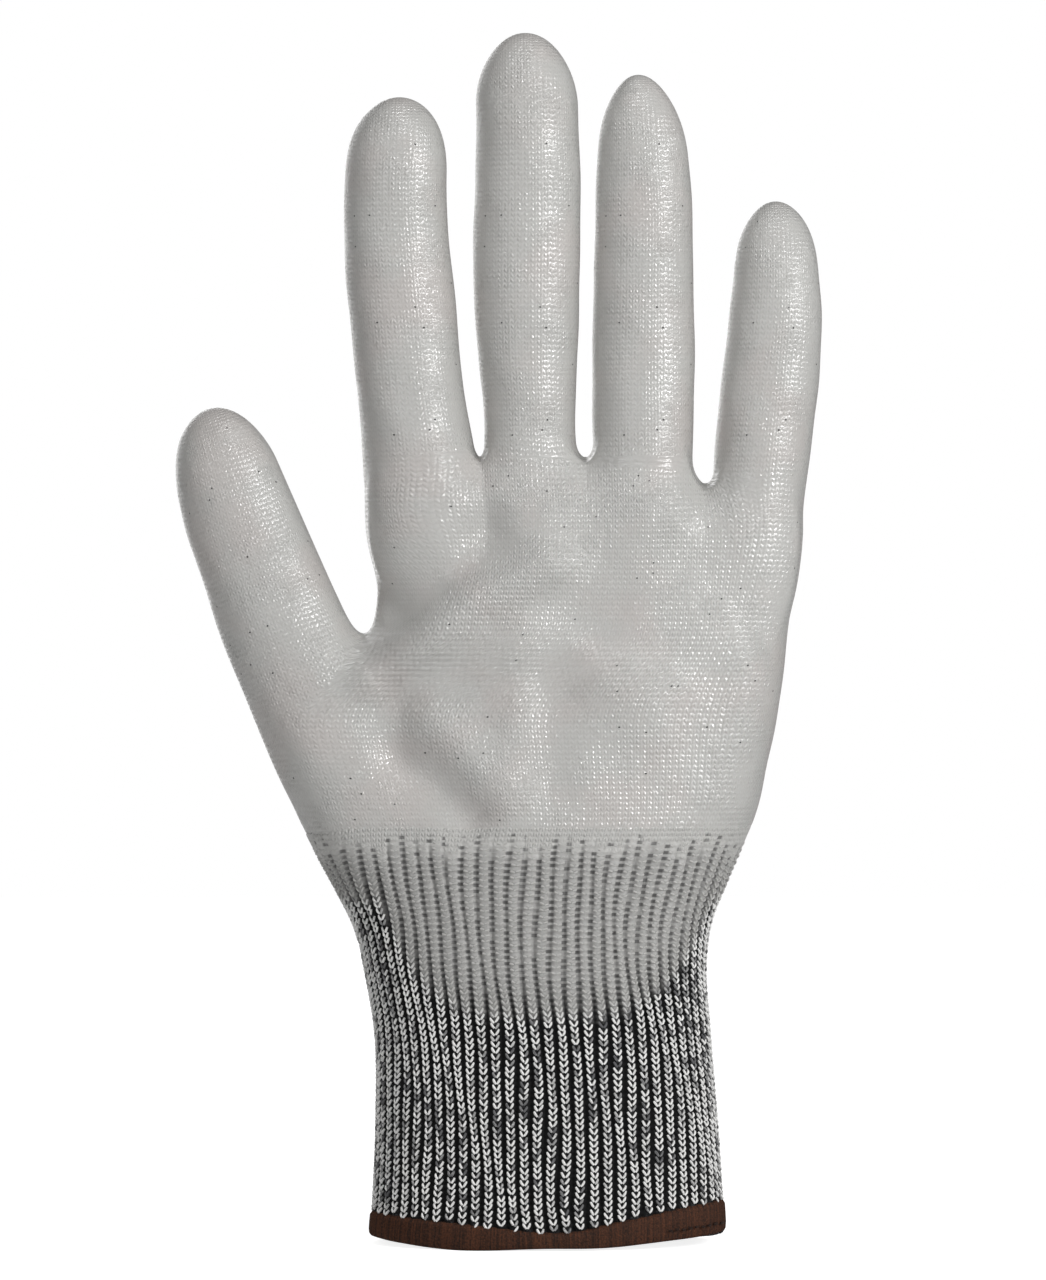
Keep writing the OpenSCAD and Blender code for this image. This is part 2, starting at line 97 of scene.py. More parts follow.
def centred(left, right, across):
    """How far across from the middle between two edges, and their half width."""
    return across - (left + right) / 2, (right - left) / 2


def turns(count):
    """Angles at even steps round."""
    return np.arange(count) / count * 2 * math.pi


def look_up(grid, row, column):
    """A grid's values at places between its points. Its last column is followed by its first."""
    row = np.clip(row, 0, len(grid) - 1.001)
    r, c = row.astype(int), column.astype(int)
    p, q = (column - c)[..., None], (row - r)[..., None]
    c_next = (c + 1) % grid.shape[1]
    low = grid[r, c] * (1 - p) + grid[r, c_next] * p
    high = grid[r + 1, c] * (1 - p) + grid[r + 1, c_next] * p
    return low * (1 - q) + high * q


def joint_place(name):
    """A joint's point in millimetres and its axis."""
    joint = next(j for j in frame["joints"] if j["name"] == name)
    return np.array(joint["pos_m"]) / MM, np.array(joint["axis"])


def node_top(name):
    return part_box(name)[1].z / MM


# ------------ form of the hand

GLOVE_TOP = node_top("middle_tip_coating")
CROTCH = 162.5
RIB_END = 84.0

# Left and right edge and half depth of the hand without its thumb, at each height
hand_left = smooth_curve((-6, -36.2), (10, -35.1), (25, -34.5), (45, -34.9), (58, -37.2),
                         (66, -38.8), (76, -42.6), (84, -45.2), (92, -45.4), (104, -42.2),
                         (116, -38), (128, -35.3), (146, -35.1), (160, -37.3), (176, -39))
hand_right = smooth_curve((-6, 36.6), (10, 35.9), (25, 34.9), (45, 33.3), (58, 32.6), (66, 33.6),
                          (76, 37.6), (88, 43.2), (100, 46.1), (113, 48.4), (126, 50),
                          (146, 52.3), (160, 54), (176, 55.6))
hand_depth = smooth_curve((-6, 22.4), (20, 21.9), (45, 21.5), (66, 21), (88, 20), (110, 18.2),
                          (126, 16.2), (146, 13.6), (160, 12.4), (176, 12))
SQUARE_CUFF = 2.15
SQUARE_PALM = 2.6
DOME_FOOT = 147.5
DOME_HEIGHT = CROTCH - 0.6 - DOME_FOOT
LITTLE_DROP = 4.2
# How far each knuckle's joint is above the finger's crotch, and the fingers' depth to width
KNUCKLE_HEIGHT = {"index": 10, "middle": 10, "ring": 10, "little": 7}
FINGER_DEPTH = 0.93
ROOT_DEPTH = 0.18
FINGER_SQUARE = 2.15
FINGER_FOOT = 14
FINGER_FOOT_ROUND = 16


class Finger:
    """A finger as its left and right edge at each height, and the round at its tip."""

    def __init__(self, name, left, right, tip, cap, root=CROTCH):
        self.name = name
        self.left = smooth_curve(*left)
        self.right = smooth_curve(*right)
        self.tip = tip
        self.cap = cap
        self.root = root
        knuckle, axis = joint_place(name + "_knuckle")
        self.along = np.array([-axis[2], 0, axis[0]])
        self.base = knuckle - self.along * KNUCKLE_HEIGHT[name]

    def field(self, x, y, z):
        aside, half = centred(self.left(z), self.right(z), x)
        past = np.maximum(z - (self.tip - self.cap), 0) / self.cap
        below = np.maximum(self.root - FINGER_FOOT - z, 0) / FINGER_FOOT_ROUND
        return tube_distance(aside, y, half, half * self.deepness(z), FINGER_SQUARE,
                             past + below, self.cap)

    def deepness(self, z):
        """Depth of the tube against its width, which grows towards the palm."""
        return FINGER_DEPTH + ROOT_DEPTH * smoothstep(self.root + 22, self.root - 4, z)

    def height(self, points):
        """How far up the finger each point is, from its crotch."""
        return (points - self.base) @ self.along

    def knit(self, points):
        x, y, z = points.T
        aside, half = centred(self.left(z), self.right(z), x)
        share = share_round(aside, y, half, half * self.deepness(z))
        return share * FINGER_WALES, over_cap(z, self.tip, self.cap) / COURSE, FINGER_WALES


def tube_distance(u, v, half_u, half_v, power, past, cap):
    """Rough distance outside a tube whose end is round: past counts how far into the round."""
    a, b = np.abs(u) / half_u, np.abs(v) / half_v
    q = np.maximum((a ** power + b ** power) ** (1 / power), 1e-4)
    r = np.sqrt(q * q + past * past)
    steep = (((a / q) ** (power - 1) / half_u) ** 2
             + ((b / q) ** (power - 1) / half_v) ** 2) * (q / r) ** 2 + (past / (r * cap)) ** 2
    return (r - 1) / np.sqrt(np.maximum(steep, 1e-5))


FINGERS = [
    Finger("index",
           [(150, -37), (164, -37.9), (176, -39.1), (188, -40.2), (200, -41.2), (211, -41.7),
            (236, -41.2)],
           [(150, -13.4), (164, -14.9), (176, -16.8), (188, -18), (200, -19.3), (213, -20.4),
            (236, -19.6)],
           236.5, 16),
    Finger("middle",
           [(150, -12.2), (164, -12.6), (172, -12.8), (182, -14.1), (195, -14.8), (225, -14.6),
            (250, -14.4)],
           [(150, 6.6), (160, 6.7), (170, 6), (182, 6.5), (195, 7), (210, 7.2), (225, 6.9),
            (250, 6.2)],
           GLOVE_TOP, 15.5),
    Finger("ring",
           [(150, 10), (164, 9.7), (180, 9.5), (195, 9.8), (210, 10.1), (225, 10.6), (241, 11)],
           [(150, 30.6), (164, 30.5), (195, 30.6), (213, 30.3), (225, 29.2), (241, 27.6)],
           241, 17),
    Finger("little",
           [(145, 33.8), (164, 34.8), (176, 36), (188, 37.4), (200, 38.8), (215, 39.4)],
           [(145, 52.2), (158, 53.9), (170, 55.5), (182, 56.6), (192, 57), (203, 56.2),
            (215, 55.6)],
           215, 14.5, root=158),
]

# The thumb in its own directions: along its length, and across it from left to right
THUMB_TILT = math.radians(20)
THUMB_ALONG = np.array([-math.sin(THUMB_TILT), 0, math.cos(THUMB_TILT)])
THUMB_ACROSS = np.array([math.cos(THUMB_TILT), 0, math.sin(THUMB_TILT)])
thumb_left = smooth_curve((60, -13.6), (79, -14.4), (86, -15.2), (93, -16.9), (100, -17.9),
                          (114, -19.1), (127, -20), (150, -20.1), (162, -19.7), (174, -18.2),
                          (186, -17))
thumb_right = smooth_curve((60, 4), (86, 7), (110, 7.6), (126, 7), (133, 6), (140, 5.3),
                           (150, 4.5), (162, 3.8), (174, 3), (186, 2.6))
thumb_depth = smooth_curve((60, 12), (90, 14.5), (108, 14.5), (126, 12.6), (140, 11.2),
                           (155, 10.6), (170, 10), (186, 9.4))
THUMB_TOP = 185.6
THUMB_CAP = 15
THUMB_FOOT = 98
THUMB_FOOT_ROUND = 27
THUMB_BLEND = 7.0
FINGER_BLEND = 3.2
FACE_BLEND = 4.0
THUMB_SQUARE = 2.2

# Raised and hollow strokes of the palm: their x and z places, half width and height
PALM_STROKES = [
    ([(-36, 117), (-26, 125), (-14, 133), (0, 140)], 5.6, 3.0),
    ([(-31, 132), (-23, 141), (-12, 147)], 5.4, -3.0),
    ([(-32, 153), (-12, 155), (8, 154.5), (38, 150)], 5.0, 0.8),
    ([(-6, 120), (-5.4, 94)], 5.0, 0.6), ([(1, 116), (1.5, 94)], 5.0, -0.6),
    ([(12, 118), (20, 112)], 7.0, 1.3), ([(5, 131), (11, 127)], 7.0, -1.3),
    ([(-30, 100), (-24, 96), (-16, 88)], 4.6, -1.7),
    ([(-24, 108), (-16, 101), (-9, 92)], 5.0, 1.4), ([(38, 92), (43, 120)], 7.0, 1.0),
]


def stroke_distance(x, z, places):
    """Distance from a line through a few places."""
    nearest = np.full_like(x, 1e9)
    for (x0, z0), (x1, z1) in zip(places, places[1:]):
        run_x, run_z = x1 - x0, z1 - z0
        along = ((x - x0) * run_x + (z - z0) * run_z) / (run_x ** 2 + run_z ** 2)
        along = np.clip(along, 0, 1)
        nearest = np.minimum(nearest, np.hypot(x - x0 - along * run_x, z - z0 - along * run_z))
    return nearest


def palm_relief(x, z):
    """How far the palm side stands out from its plain section."""
    return sum(height * np.exp(-(stroke_distance(x, z, places) / width) ** 2)
               for places, width, height in PALM_STROKES)


def hand_field(x, y, z):
    """Rough distance outside the hand, whose top is a low dome that drops by the little finger."""
    z_drop = z + LITTLE_DROP * smoothstep(25, 34, x)
    aside, half = centred(hand_left(z), hand_right(z), x)
    deep = hand_depth(z)
    power = SQUARE_CUFF + (SQUARE_PALM - SQUARE_CUFF) * smoothstep(95, 140, z)
    a = np.abs(aside) / half
    b = np.hypot(y / deep, np.maximum(z_drop - DOME_FOOT, 0) / DOME_HEIGHT)
    q = np.maximum((a ** power + b ** power) ** (1 / power), 1e-4)
    steep = ((a / q) ** (power - 1) / half) ** 2 + ((b / q) ** (power - 1) / deep) ** 2
    return (q - 1) / np.sqrt(np.maximum(steep, 1e-5))


def thumb_field(x, y, z):
    """Rough distance outside the thumb, which is round at both its ends."""
    along = x * THUMB_ALONG[0] + z * THUMB_ALONG[2]
    across = x * THUMB_ACROSS[0] + z * THUMB_ACROSS[2]
    aside, half = centred(thumb_left(along), thumb_right(along), across)
    past = np.maximum(along - (THUMB_TOP - THUMB_CAP), 0) / THUMB_CAP
    below = np.maximum(THUMB_FOOT - along, 0) / THUMB_FOOT_ROUND
    return tube_distance(aside, y, half, thumb_depth(along), THUMB_SQUARE, past + below,
                         THUMB_CAP)


def unevenness(x, y, z):
    """The soft irregularity of a dipped glove."""
    return (0.16 * np.sin(x / 4.7 + 1.3 + 0.5 * np.sin(z / 9)) * np.sin(z / 6.9 + 0.6)
            + 0.1 * np.sin(x / 2.9 + z / 7.7 + 2) * np.sin(z / 3.8 - y / 5))


def glove_field(points):
    """Rough distance in millimetres outside the skin of the glove."""
    x, y, z = points[..., 0], points[..., 1], points[..., 2]
    front = smoothstep(-2, -9, y)
    hand = smooth_min(hand_field(x, y, z), thumb_field(x, y, z), THUMB_BLEND)
    hand = hand - palm_relief(x, z) * front
    whole = hand
    blend = FINGER_BLEND + FACE_BLEND * smoothstep(3, 8, np.abs(y))
    for finger in FINGERS:
        whole = np.minimum(whole, smooth_min(hand, finger.field(x, y, z), blend))
    return whole - unevenness(x, y, z) * smoothstep(RIB_END, RIB_END + 12, z)


def slope_of(field, points, reach=0.12):
    """The field's direction of steepest rise, by differences."""
    slope = np.empty_like(points)
    for axis in range(3):
        step = np.zeros(3)
        step[axis] = reach
        slope[:, axis] = (field(points + step) - field(points - step)) / (2 * reach)
    return slope


def settle(field, points, rounds):
    """Moves points onto the skin along its normals."""
    for _ in range(rounds):
        slope = slope_of(field, points)
        share = field(points) / np.maximum((slope ** 2).sum(1), 0.05)
        points = points - slope * np.clip(share, -1.5, 1.5)[:, None]
    return points


def unit(vectors):
    return vectors / np.maximum(np.linalg.norm(vectors, axis=-1, keepdims=True), 1e-9)


# ------------ skin mesh

NET_STEP = 0.7
NET_LOW = RIB_END + 0.2
NET_SINK = 0.14
NET_LEFT = -80
NET_RIGHT = 60
NET_DEPTH = 23
CORNERS = np.array([(i, j, k) for i in (0, 1) for j in (0, 1) for k in (0, 1)])


def surface_net(field, low, high, step):
    """Points and four-sided faces of the surface where the field is zero."""
    axes = [np.arange(a, b + step, step) for a, b in zip(low, high)]
    size = [len(a) for a in axes]
    value = np.empty(size, np.float32)
    for k, z in enumerate(axes[2]):
        x, y = np.meshgrid(axes[0], axes[1], indexing="ij")
        value[:, :, k] = field(np.stack([x, y, np.full_like(x, z)], -1))
    inside = value < 0
    count = sum(inside[i:size[0] - 1 + i, j:size[1] - 1 + j, k:size[2] - 1 + k].astype(np.int8)
                for i, j, k in CORNERS)
    cells = np.argwhere((count > 0) & (count < 8))
    corner = np.stack([value[tuple((cells + c).T)] for c in CORNERS], 1)
    total = np.zeros((len(cells), 3))
    crossings = np.zeros(len(cells))
    for a in range(8):
        for b in range(a + 1, 8):
            if np.abs(CORNERS[a] - CORNERS[b]).sum() != 1:
                continue
            cut = (corner[:, a] < 0) != (corner[:, b] < 0)
            share = corner[cut, a] / (corner[cut, a] - corner[cut, b])
            total[cut] += CORNERS[a] + share[:, None] * (CORNERS[b] - CORNERS[a])
            crossings[cut] += 1
    points = np.array(low) + (cells + total / crossings[:, None]) * step
    number = np.full([s - 1 for s in size], -1, np.int64)
    number[tuple(cells.T)] = np.arange(len(cells))
    faces = []
    for axis in range(3):
        one = [slice(None)] * 3
        two = [slice(None)] * 3
        one[axis] = slice(0, size[axis] - 1)
        two[axis] = slice(1, size[axis])
        first, second = inside[tuple(one)], inside[tuple(two)]
        edges = np.argwhere(first != second)
        others = [(axis + 1) % 3, (axis + 2) % 3]
        keep = np.all([(edges[:, o] > 0) & (edges[:, o] < size[o] - 1) for o in others], 0)
        edges = edges[keep]
        outward = first[tuple(edges.T)]
        quad = []
        for back_a, back_b in ((1, 1), (0, 1), (0, 0), (1, 0)):
            cell = edges.copy()
            cell[:, others[0]] -= back_a
            cell[:, others[1]] -= back_b
            quad.append(number[tuple(cell.T)])
        quad = np.stack(quad, 1)
        quad[~outward] = quad[~outward][:, ::-1]
        faces.append(quad)
    faces = np.concatenate(faces)
    return points, faces[(faces >= 0).all(1)]


def relaxed(points, faces):
    """Each point moved half way to the middle of its neighbours."""
    total = np.zeros_like(points)
    count = np.zeros(len(points))
    for a, b in ((0, 1), (1, 2), (2, 3), (3, 0)):
        np.add.at(total, faces[:, a], points[faces[:, b]])
        np.add.at(total, faces[:, b], points[faces[:, a]])
        np.add.at(count, faces[:, a], 1)
        np.add.at(count, faces[:, b], 1)
    return (points + total / np.maximum(count, 1)[:, None]) / 2


def make_skin():
    """The skin above the ribs. Its uneven lower edge sinks under the end of the ribs."""
    low = (NET_LEFT, -NET_DEPTH, NET_LOW)
    high = (NET_RIGHT, NET_DEPTH, GLOVE_TOP + 2)
    points, faces = surface_net(glove_field, low, high, NET_STEP)
    points = settle(glove_field, points, 2)
    points = settle(glove_field, relaxed(points, faces), 1)
    normals = unit(slope_of(glove_field, points))
    edge = points[:, 2] + 0.5 * np.sin(points[:, 0] * 1.9) + 0.3 * np.sin(points[:, 0] * 4.3)
    sink = NET_SINK * smoothstep(NET_LOW + 2.4, NET_LOW + 0.2, edge)
    return points - normals * sink[:, None], faces, normals


# ------------ where the glove is coated

COAT_FOOT = 47.0
COAT_RISE = 23.0
COAT_SPREAD = 34.0
COAT_SIDE = 3.6
TIP_COAT = 13.0


def coat_low(points):
    """Height above the lower edge of the coating, which dips to a U on the palm side."""
    x, z = points[:, 0], points[:, 2]
    spread = np.minimum(np.abs(x) / COAT_SPREAD, 1.0)
    return z - COAT_FOOT - COAT_RISE * spread ** 4


def coat_side(points):
    """Distance inside the edge of the coating along the sides and over the fingertips."""
    x, y, z = points.T
    wander = 0.9 * np.sin(z / 3.1 + np.sign(x)) + 0.6 * np.sin(z / 1.3 + x / 9)
    side = COAT_SIDE + wander - y
    tip = np.full(len(points), -99.0)
    for finger in FINGERS:
        near = np.abs(centred(finger.left(z), finger.right(z), x)[0]) < 14
        over = z - (finger.tip - TIP_COAT) + 1.2 * np.sin(x / 1.9)
        tip = np.where(near & (z > CROTCH), np.maximum(tip, over), tip)
    along = points @ THUMB_ALONG
    on_thumb = points @ THUMB_ACROSS < THUMB_SIDE
    over = along - (THUMB_TOP - TIP_COAT) + 1.2 * np.sin(x / 1.9)
    tip = np.where(on_thumb & (along > THUMB_TOP - 30), np.maximum(tip, over), tip)
    return np.maximum(side, tip)


# ------------ knit coordinates

PALM_WALES = 180
FINGER_WALES = 50
THUMB_WALES = 58
COURSE = 1.05
STITCH = 1.25
RIBS = 68
ANGLES = np.linspace(0, 2 * math.pi, 721)
RATIOS = np.linspace(0.25, 1.05, 9)
ROUND_POWER = 2.3
SIDE_START = 0.4
WEB_TOP = 132


def outline(ratio, power):
    """A superellipse of half width 1, from its right edge round by the back."""
    c, s = np.cos(ANGLES), np.sin(ANGLES)
    return (np.sign(c) * np.abs(c) ** (2 / power),
            ratio * np.sign(s) * np.abs(s) ** (2 / power))


def round_shares(ratio, power):
    """The share of the way round an outline at each of ANGLES."""
    x, y = outline(ratio, power)
    run = np.concatenate([[0], np.cumsum(np.hypot(np.diff(x), np.diff(y)))])
    return run / run[-1]


SHARES = np.stack([round_shares(r, ROUND_POWER) for r in RATIOS])[..., None]


def share_round(u, v, half_u, half_v):
    """The share of the way round a tube's section at each point.

    Towards its sides a point counts as on the plain section, which keeps the wales even there.
    """
    a, b = u / half_u, v / half_v
    plain = np.sign(b) * (1 - np.minimum(np.abs(a), 1) ** ROUND_POWER) ** (1 / ROUND_POWER)
    b = plain + (b - plain) * smoothstep(SIDE_START, 1.0, np.abs(a))
    angle = np.arctan2(np.sign(b) * np.abs(b) ** (ROUND_POWER / 2),
                       np.sign(a) * np.abs(a) ** (ROUND_POWER / 2)) % (2 * math.pi)
    level = (half_v / half_u - RATIOS[0]) / (RATIOS[1] - RATIOS[0])
    return look_up(SHARES, level, angle / (2 * math.pi) * (len(ANGLES) - 1))[..., 0]


def find_web_edge():
    """The left edge of hand and thumb together, at heights from the ribs to the crotch."""
    heights = np.linspace(80, WEB_TOP, 53)
    across = np.linspace(-80, -20, 241)
    x, z = np.meshgrid(across, heights)
    inside = glove_field(np.stack([x, np.zeros_like(x), z], -1)) < 0
    edge = across[inside.argmax(1)]
    return heights, edge + (hand_left(heights) - edge) * smoothstep(106, 127, heights)


WEB_HEIGHTS, WEB_EDGE = find_web_edge()


def palm_knit(points):
    """Wale number and course number at each point, and how many wales run round."""
    x, y, z = points.T
    right = hand_right(z)
    left = np.minimum(np.interp(z, WEB_HEIGHTS, WEB_EDGE), x)
    left = np.where(z < WEB_TOP, left, np.minimum(hand_left(z), x))
    aside, half = centred(left, right, x)
    share = share_round(aside, y, half, hand_depth(z))
    return share * PALM_WALES, z / COURSE, PALM_WALES


def over_cap(height, tip, cap):
    """Length up a tube and over the round cap at its end."""
    past = np.clip((height - (tip - cap)) / cap, 0, 1)
    return np.minimum(height, tip - cap) + cap * np.arcsin(past)


def thumb_knit(points):
    along = points @ THUMB_ALONG
    aside, half = centred(thumb_left(along), thumb_right(along), points @ THUMB_ACROSS)
    share = share_round(aside, points[:, 1], half, thumb_depth(along))
    return share * THUMB_WALES, over_cap(along, THUMB_TOP, THUMB_CAP) / COURSE, THUMB_WALES


# ------------ making pieces

def outline_edges(faces):
    """The edges that belong to one face only, in that face's direction."""
    edges = np.concatenate([faces[:, [i, (i + 1) % 4]] for i in range(4)])
    key = np.sort(edges, 1)
    code = key[:, 0] * (faces.max() + 1) + key[:, 1]
    _, first, count = np.unique(code, return_index=True, return_counts=True)
    return edges[first[count == 1]]


def used_only(points, faces):
    """Which points the faces use, and the faces numbered by those points alone."""
    used = np.unique(faces)
    number = np.full(len(points), -1)
    number[used] = np.arange(len(used))
    return used, number[faces]


def fill(rows, key, values, kind=np.float32):
    rows.foreach_set(key, values.astype(kind).ravel())


def add_object(name, data):
    made = bpy.data.objects.new(name, data)
    bpy.context.scene.collection.objects.link(made)
    return made


def make_piece(name, points, faces, normals, materials, uv, wrap=0, fields=None, thickness=0):
    """A mesh object from arrays of points and four-sided faces, with a lining if it is thick.

    wrap is how many wales run round: a face over the seam counts on past the last of them.
    """
    outer = len(faces)
    points, uv = points.reshape(-1, 3), uv.reshape(-1, 2)
    fields = fields or {}
    if thickness:
        border = outline_edges(faces)
        count = len(points)
        rim = np.stack([border[:, 1], border[:, 0], border[:, 0] + count, border[:, 1] + count], 1)
        faces = np.concatenate([faces, faces[:, ::-1] + count, rim])
        points = np.concatenate([points, points - thickness * normals])
        normals = np.concatenate([normals, -normals])
        uv = np.concatenate([uv, uv])
        fields = {key: np.concatenate([values, values]) for key, values in fields.items()}
    mesh = bpy.data.meshes.new(name)
    mesh.vertices.add(len(points))
    fill(mesh.vertices, "co", points * MM)
    mesh.loops.add(faces.size)
    fill(mesh.loops, "vertex_index", faces, np.int32)
    mesh.polygons.add(len(faces))
    fill(mesh.polygons, "loop_start", np.arange(0, faces.size, 4), np.int32)
    fill(mesh.polygons, "use_smooth", np.ones(len(faces)), bool)
    for material in materials:
        mesh.materials.append(material)
    if len(materials) > 1:
        fill(mesh.polygons, "material_index", np.arange(len(faces)) >= outer, np.int32)
    mesh.update(calc_edges=True)
    mesh.validate()
    corner = uv[faces]
    if wrap:
        u = corner[:, :, 0]
        far = (u.max(1) - u.min(1)) > wrap / 2
        u[far] = np.where(u[far] < wrap / 2, u[far] + wrap, u[far])
    fill(mesh.uv_layers.new(name="knit").data, "uv", corner)
    for key, values in fields.items():
        fill(mesh.attributes.new(key, "FLOAT", "POINT").data, "value", values)
    if normals is not None:
        normals = normals.reshape(-1, 3).astype(np.float32)
        mesh.normals_split_custom_set_from_vertices(normals.tolist())
    return add_object(name, mesh)


def grid_faces(rows, columns):
    """Faces of a grid of points whose rows run round a tube."""
    r, c = np.meshgrid(np.arange(rows - 1), np.arange(columns), indexing="ij")
    a = r * columns + c
    b = r * columns + (c + 1) % columns
    return np.stack([a, b, b + columns, a + columns], -1).reshape(-1, 4)


def grid_normals(points):
    """Normals of a grid of points whose rows run round a tube."""
    across = np.roll(points, -1, 1) - np.roll(points, 1, 1)
    return unit(np.cross(across, np.gradient(points, axis=0)))


def swept(centre, across, up, radius, sides):
    """Rings of points round each place of many lines, and the way each point faces."""
    turn = turns(sides)[:, None]
    ring = across[..., None, :] * np.cos(turn) + up[..., None, :] * np.sin(turn)
    return centre[..., None, :] + ring * radius[..., None, None], ring


def swept_faces(lines, places, sides):
    """The faces of many swept lines, each open at both ends."""
    one = grid_faces(places, sides)[:, ::-1]
    return np.concatenate([one + places * sides * i for i in range(lines)])


# ------------ material nodes

def maths_method(operation):
    """A method of Value that is one operation of the maths node."""
    return lambda value, other=0.0: value.graph.maths(operation, value, other)


class Value:
    """A number that a material works out at each point, for use in plain arithmetic."""

    def __init__(self, graph, socket):
        self.graph = graph
        self.socket = socket

    __add__ = __radd__ = maths_method("ADD")
    __mul__ = __rmul__ = maths_method("MULTIPLY")
    __sub__ = maths_method("SUBTRACT")
    __abs__ = maths_method("ABSOLUTE")
    floor = maths_method("FLOOR")
    fract = maths_method("FRACT")
    sine = maths_method("SINE")
    cosine = maths_method("COSINE")
    root = maths_method("SQRT")
    above = maths_method("GREATER_THAN")

    def __rsub__(self, other):
        return self.graph.maths("SUBTRACT", other, self)

    def ramp(self, low, high, out_low=0.0, out_high=1.0):
        """This value from low to high, eased to out_low to out_high."""
        return self.graph.value("MapRange", "Result",
                                {"Value": self, "From Min": low, "From Max": high,
                                 "To Min": out_low, "To Max": out_high},
                                interpolation_type="SMOOTHSTEP")


class Graph:
    """A material's nodes, made by short calls."""

    def __init__(self, name):
        self.material = bpy.data.materials.new(name)
        self.material.use_nodes = True
        self.tree = self.material.node_tree
        self.shader = self.tree.nodes["Principled BSDF"]

    def put(self, socket, value):
        if isinstance(value, Value):
            self.tree.links.new(value.socket, socket)
        else:
            socket.default_value = value

    def value(self, kind, output, inputs=(), **settings):
        """An output of a new node."""
        made = self.tree.nodes.new("ShaderNode" + kind)
        for key, value in settings.items():
            setattr(made, key, value)
        for key, value in dict(inputs).items():
            self.put(made.inputs[key], value)
        return Value(self, made.outputs[output])

    def maths(self, operation, a, b):
        return self.value("Math", 0, {0: a, 1: b}, operation=operation)

    def mix(self, share, a, b):
        return self.value("Mix", 2, {0: share, 6: a, 7: b}, data_type="RGBA")

    def vector(self, x, y, z=0.0):
        return self.value("CombineXYZ", 0, {"X": x, "Y": y, "Z": z})

    def attribute(self, name):
        return self.value("Attribute", "Fac", attribute_name=name)

    def knit(self):
        """The point's place in the knit, as a wale number and a course number."""
        uv = self.value("UVMap", 0, uv_map="knit")
        return self.value("SeparateXYZ", 0, {0: uv}), self.value("SeparateXYZ", 1, {0: uv})

    def place(self):
        """The point's place on the piece, in millimetres."""
        metres = self.value("TexCoord", "Object")
        return self.value("VectorMath", 0, {0: metres, "Scale": 1 / MM}, operation="SCALE")

    def noise(self, vector, scale, detail=2.0, roughness=0.5):
        return self.value("TexNoise", "Fac", {"Vector": vector, "Scale": scale,
                                              "Detail": detail, "Roughness": roughness})

    def random(self, x, y, z):
        return self.value("TexWhiteNoise", "Value", {"Vector": self.vector(x, y, z)},
                          noise_dimensions="3D")

    def film_grain(self, place, share):
        """The fine unevenness of a dried film, in millimetres."""
        coarse = self.noise(place, 0.9, 3.0) * (0.03 + share * 0.25)
        return coarse + self.noise(place, 3.4, 1.0) * 0.03

    def bump(self, height_mm):
        normal = self.value("Bump", 0, {"Height": height_mm, "Distance": MM})
        self.put(self.shader.inputs["Normal"], normal)

    def finish(self, colour, roughness, **sockets):
        self.put(self.shader.inputs["Base Color"], colour)
        self.put(self.shader.inputs["Roughness"], roughness)
        for key, value in sockets.items():
            self.shader.inputs[key.replace("_", " ")].default_value = value
        return self.material


COAT_COLOUR = (0.535, 0.530, 0.512, 1)
COAT_WARM = (0.548, 0.522, 0.503, 1)
# A deeper coat colour, used for random darker patches and strands and for painted shade between
# the loops.
COAT_DEEP = (0.36, 0.355, 0.345, 1)
# Painted shade for the coated ribs: darker coating for the gaps between the stitches, and darker
# still for the valleys.
COAT_GAP_PAINTED_SHADE = (0.43, 0.426, 0.415, 1)
COAT_VALLEY_PAINTED_SHADE = (0.38, 0.376, 0.366, 1)
PINHOLE = (0.04, 0.04, 0.04, 1)
# Near black: the dark yarn's own colour, and also painted shade between the loops and in the rib
# valleys.
YARN_DARK = (0.006, 0.006, 0.0065, 1)
YARN_GREY = (0.13, 0.13, 0.135, 1)
YARN_LIGHT = (0.95, 0.945, 0.93, 1)
LOOP_SLANT = 0.4
PINHOLE_SHARE = 0.008
FILM_LOOP_HEIGHT = 0.16
BARE_LOOP_HEIGHT = 0.45


def loop_pattern(u, v):
    """Knitted loops: two slanting arms to each wale. Gives height, arm number and course."""
    inside = u.fract()
    from_middle = abs(inside * 2.0 - 1.0)
    phase = v - from_middle * LOOP_SLANT
    wave = ((phase.fract() - 0.5) * (2 * math.pi)).cosine()
    across = ((inside * 2.0).fract() * math.pi).sine()
    height = (0.55 + wave * 0.45) * (0.25 + across * 0.75)
    return height, (u * 2.0).floor(), phase.floor()


def bare_colour(g, tone, height):
    """The yarn's colour for a tone from 0 to 1, with painted shade, near black, between the loops.
    """
    # Painted shade: the gaps between the loops take the near black colour.
    return g.mix(height.ramp(0.12, 0.6), YARN_DARK, g.mix(tone, YARN_GREY, YARN_LIGHT))


def film_colour(g, place, height, thick, hole):
    """The coating's colour: a little warm in places, painted shade between the loops that is
    stronger where the film is thin, and dark in a pinhole.
    """
    colour = g.mix(g.noise(place, 0.06).ramp(0.42, 0.68), COAT_COLOUR, COAT_WARM)
    colour = g.mix(g.noise(place, 0.22, 3.0).ramp(0.35, 0.8, 0.0, 0.06), colour, COAT_DEEP)
    # Painted shade: where the film is thin, it is darker between the loops.
    thin = (1.0 - thick) * height.ramp(0.6, 0.1)
    colour = g.mix(thin * 0.6, colour, COAT_DEEP)
    colour = g.mix(hole, colour, PINHOLE)
    # Painted shade: the coat colour deepens between the loops, where the relief would be in shade.
    return g.mix(height.ramp(0.55, 0.1, 0.0, 0.12), colour, COAT_DEEP)


def pinholes(g, u, v, thick):
    """1 inside a few small holes between the loops, more of them where the film is thin."""
    chance = g.random(u.floor(), v.floor(), 3.0) + (1.0 - thick) * 0.05
    dx = u.fract() - 0.5
    dz = v.fract() - 0.5
    away = (dx * dx + dz * dz).root()
    return chance.above(1 - PINHOLE_SHARE) * away.ramp(0.2, 0.08)


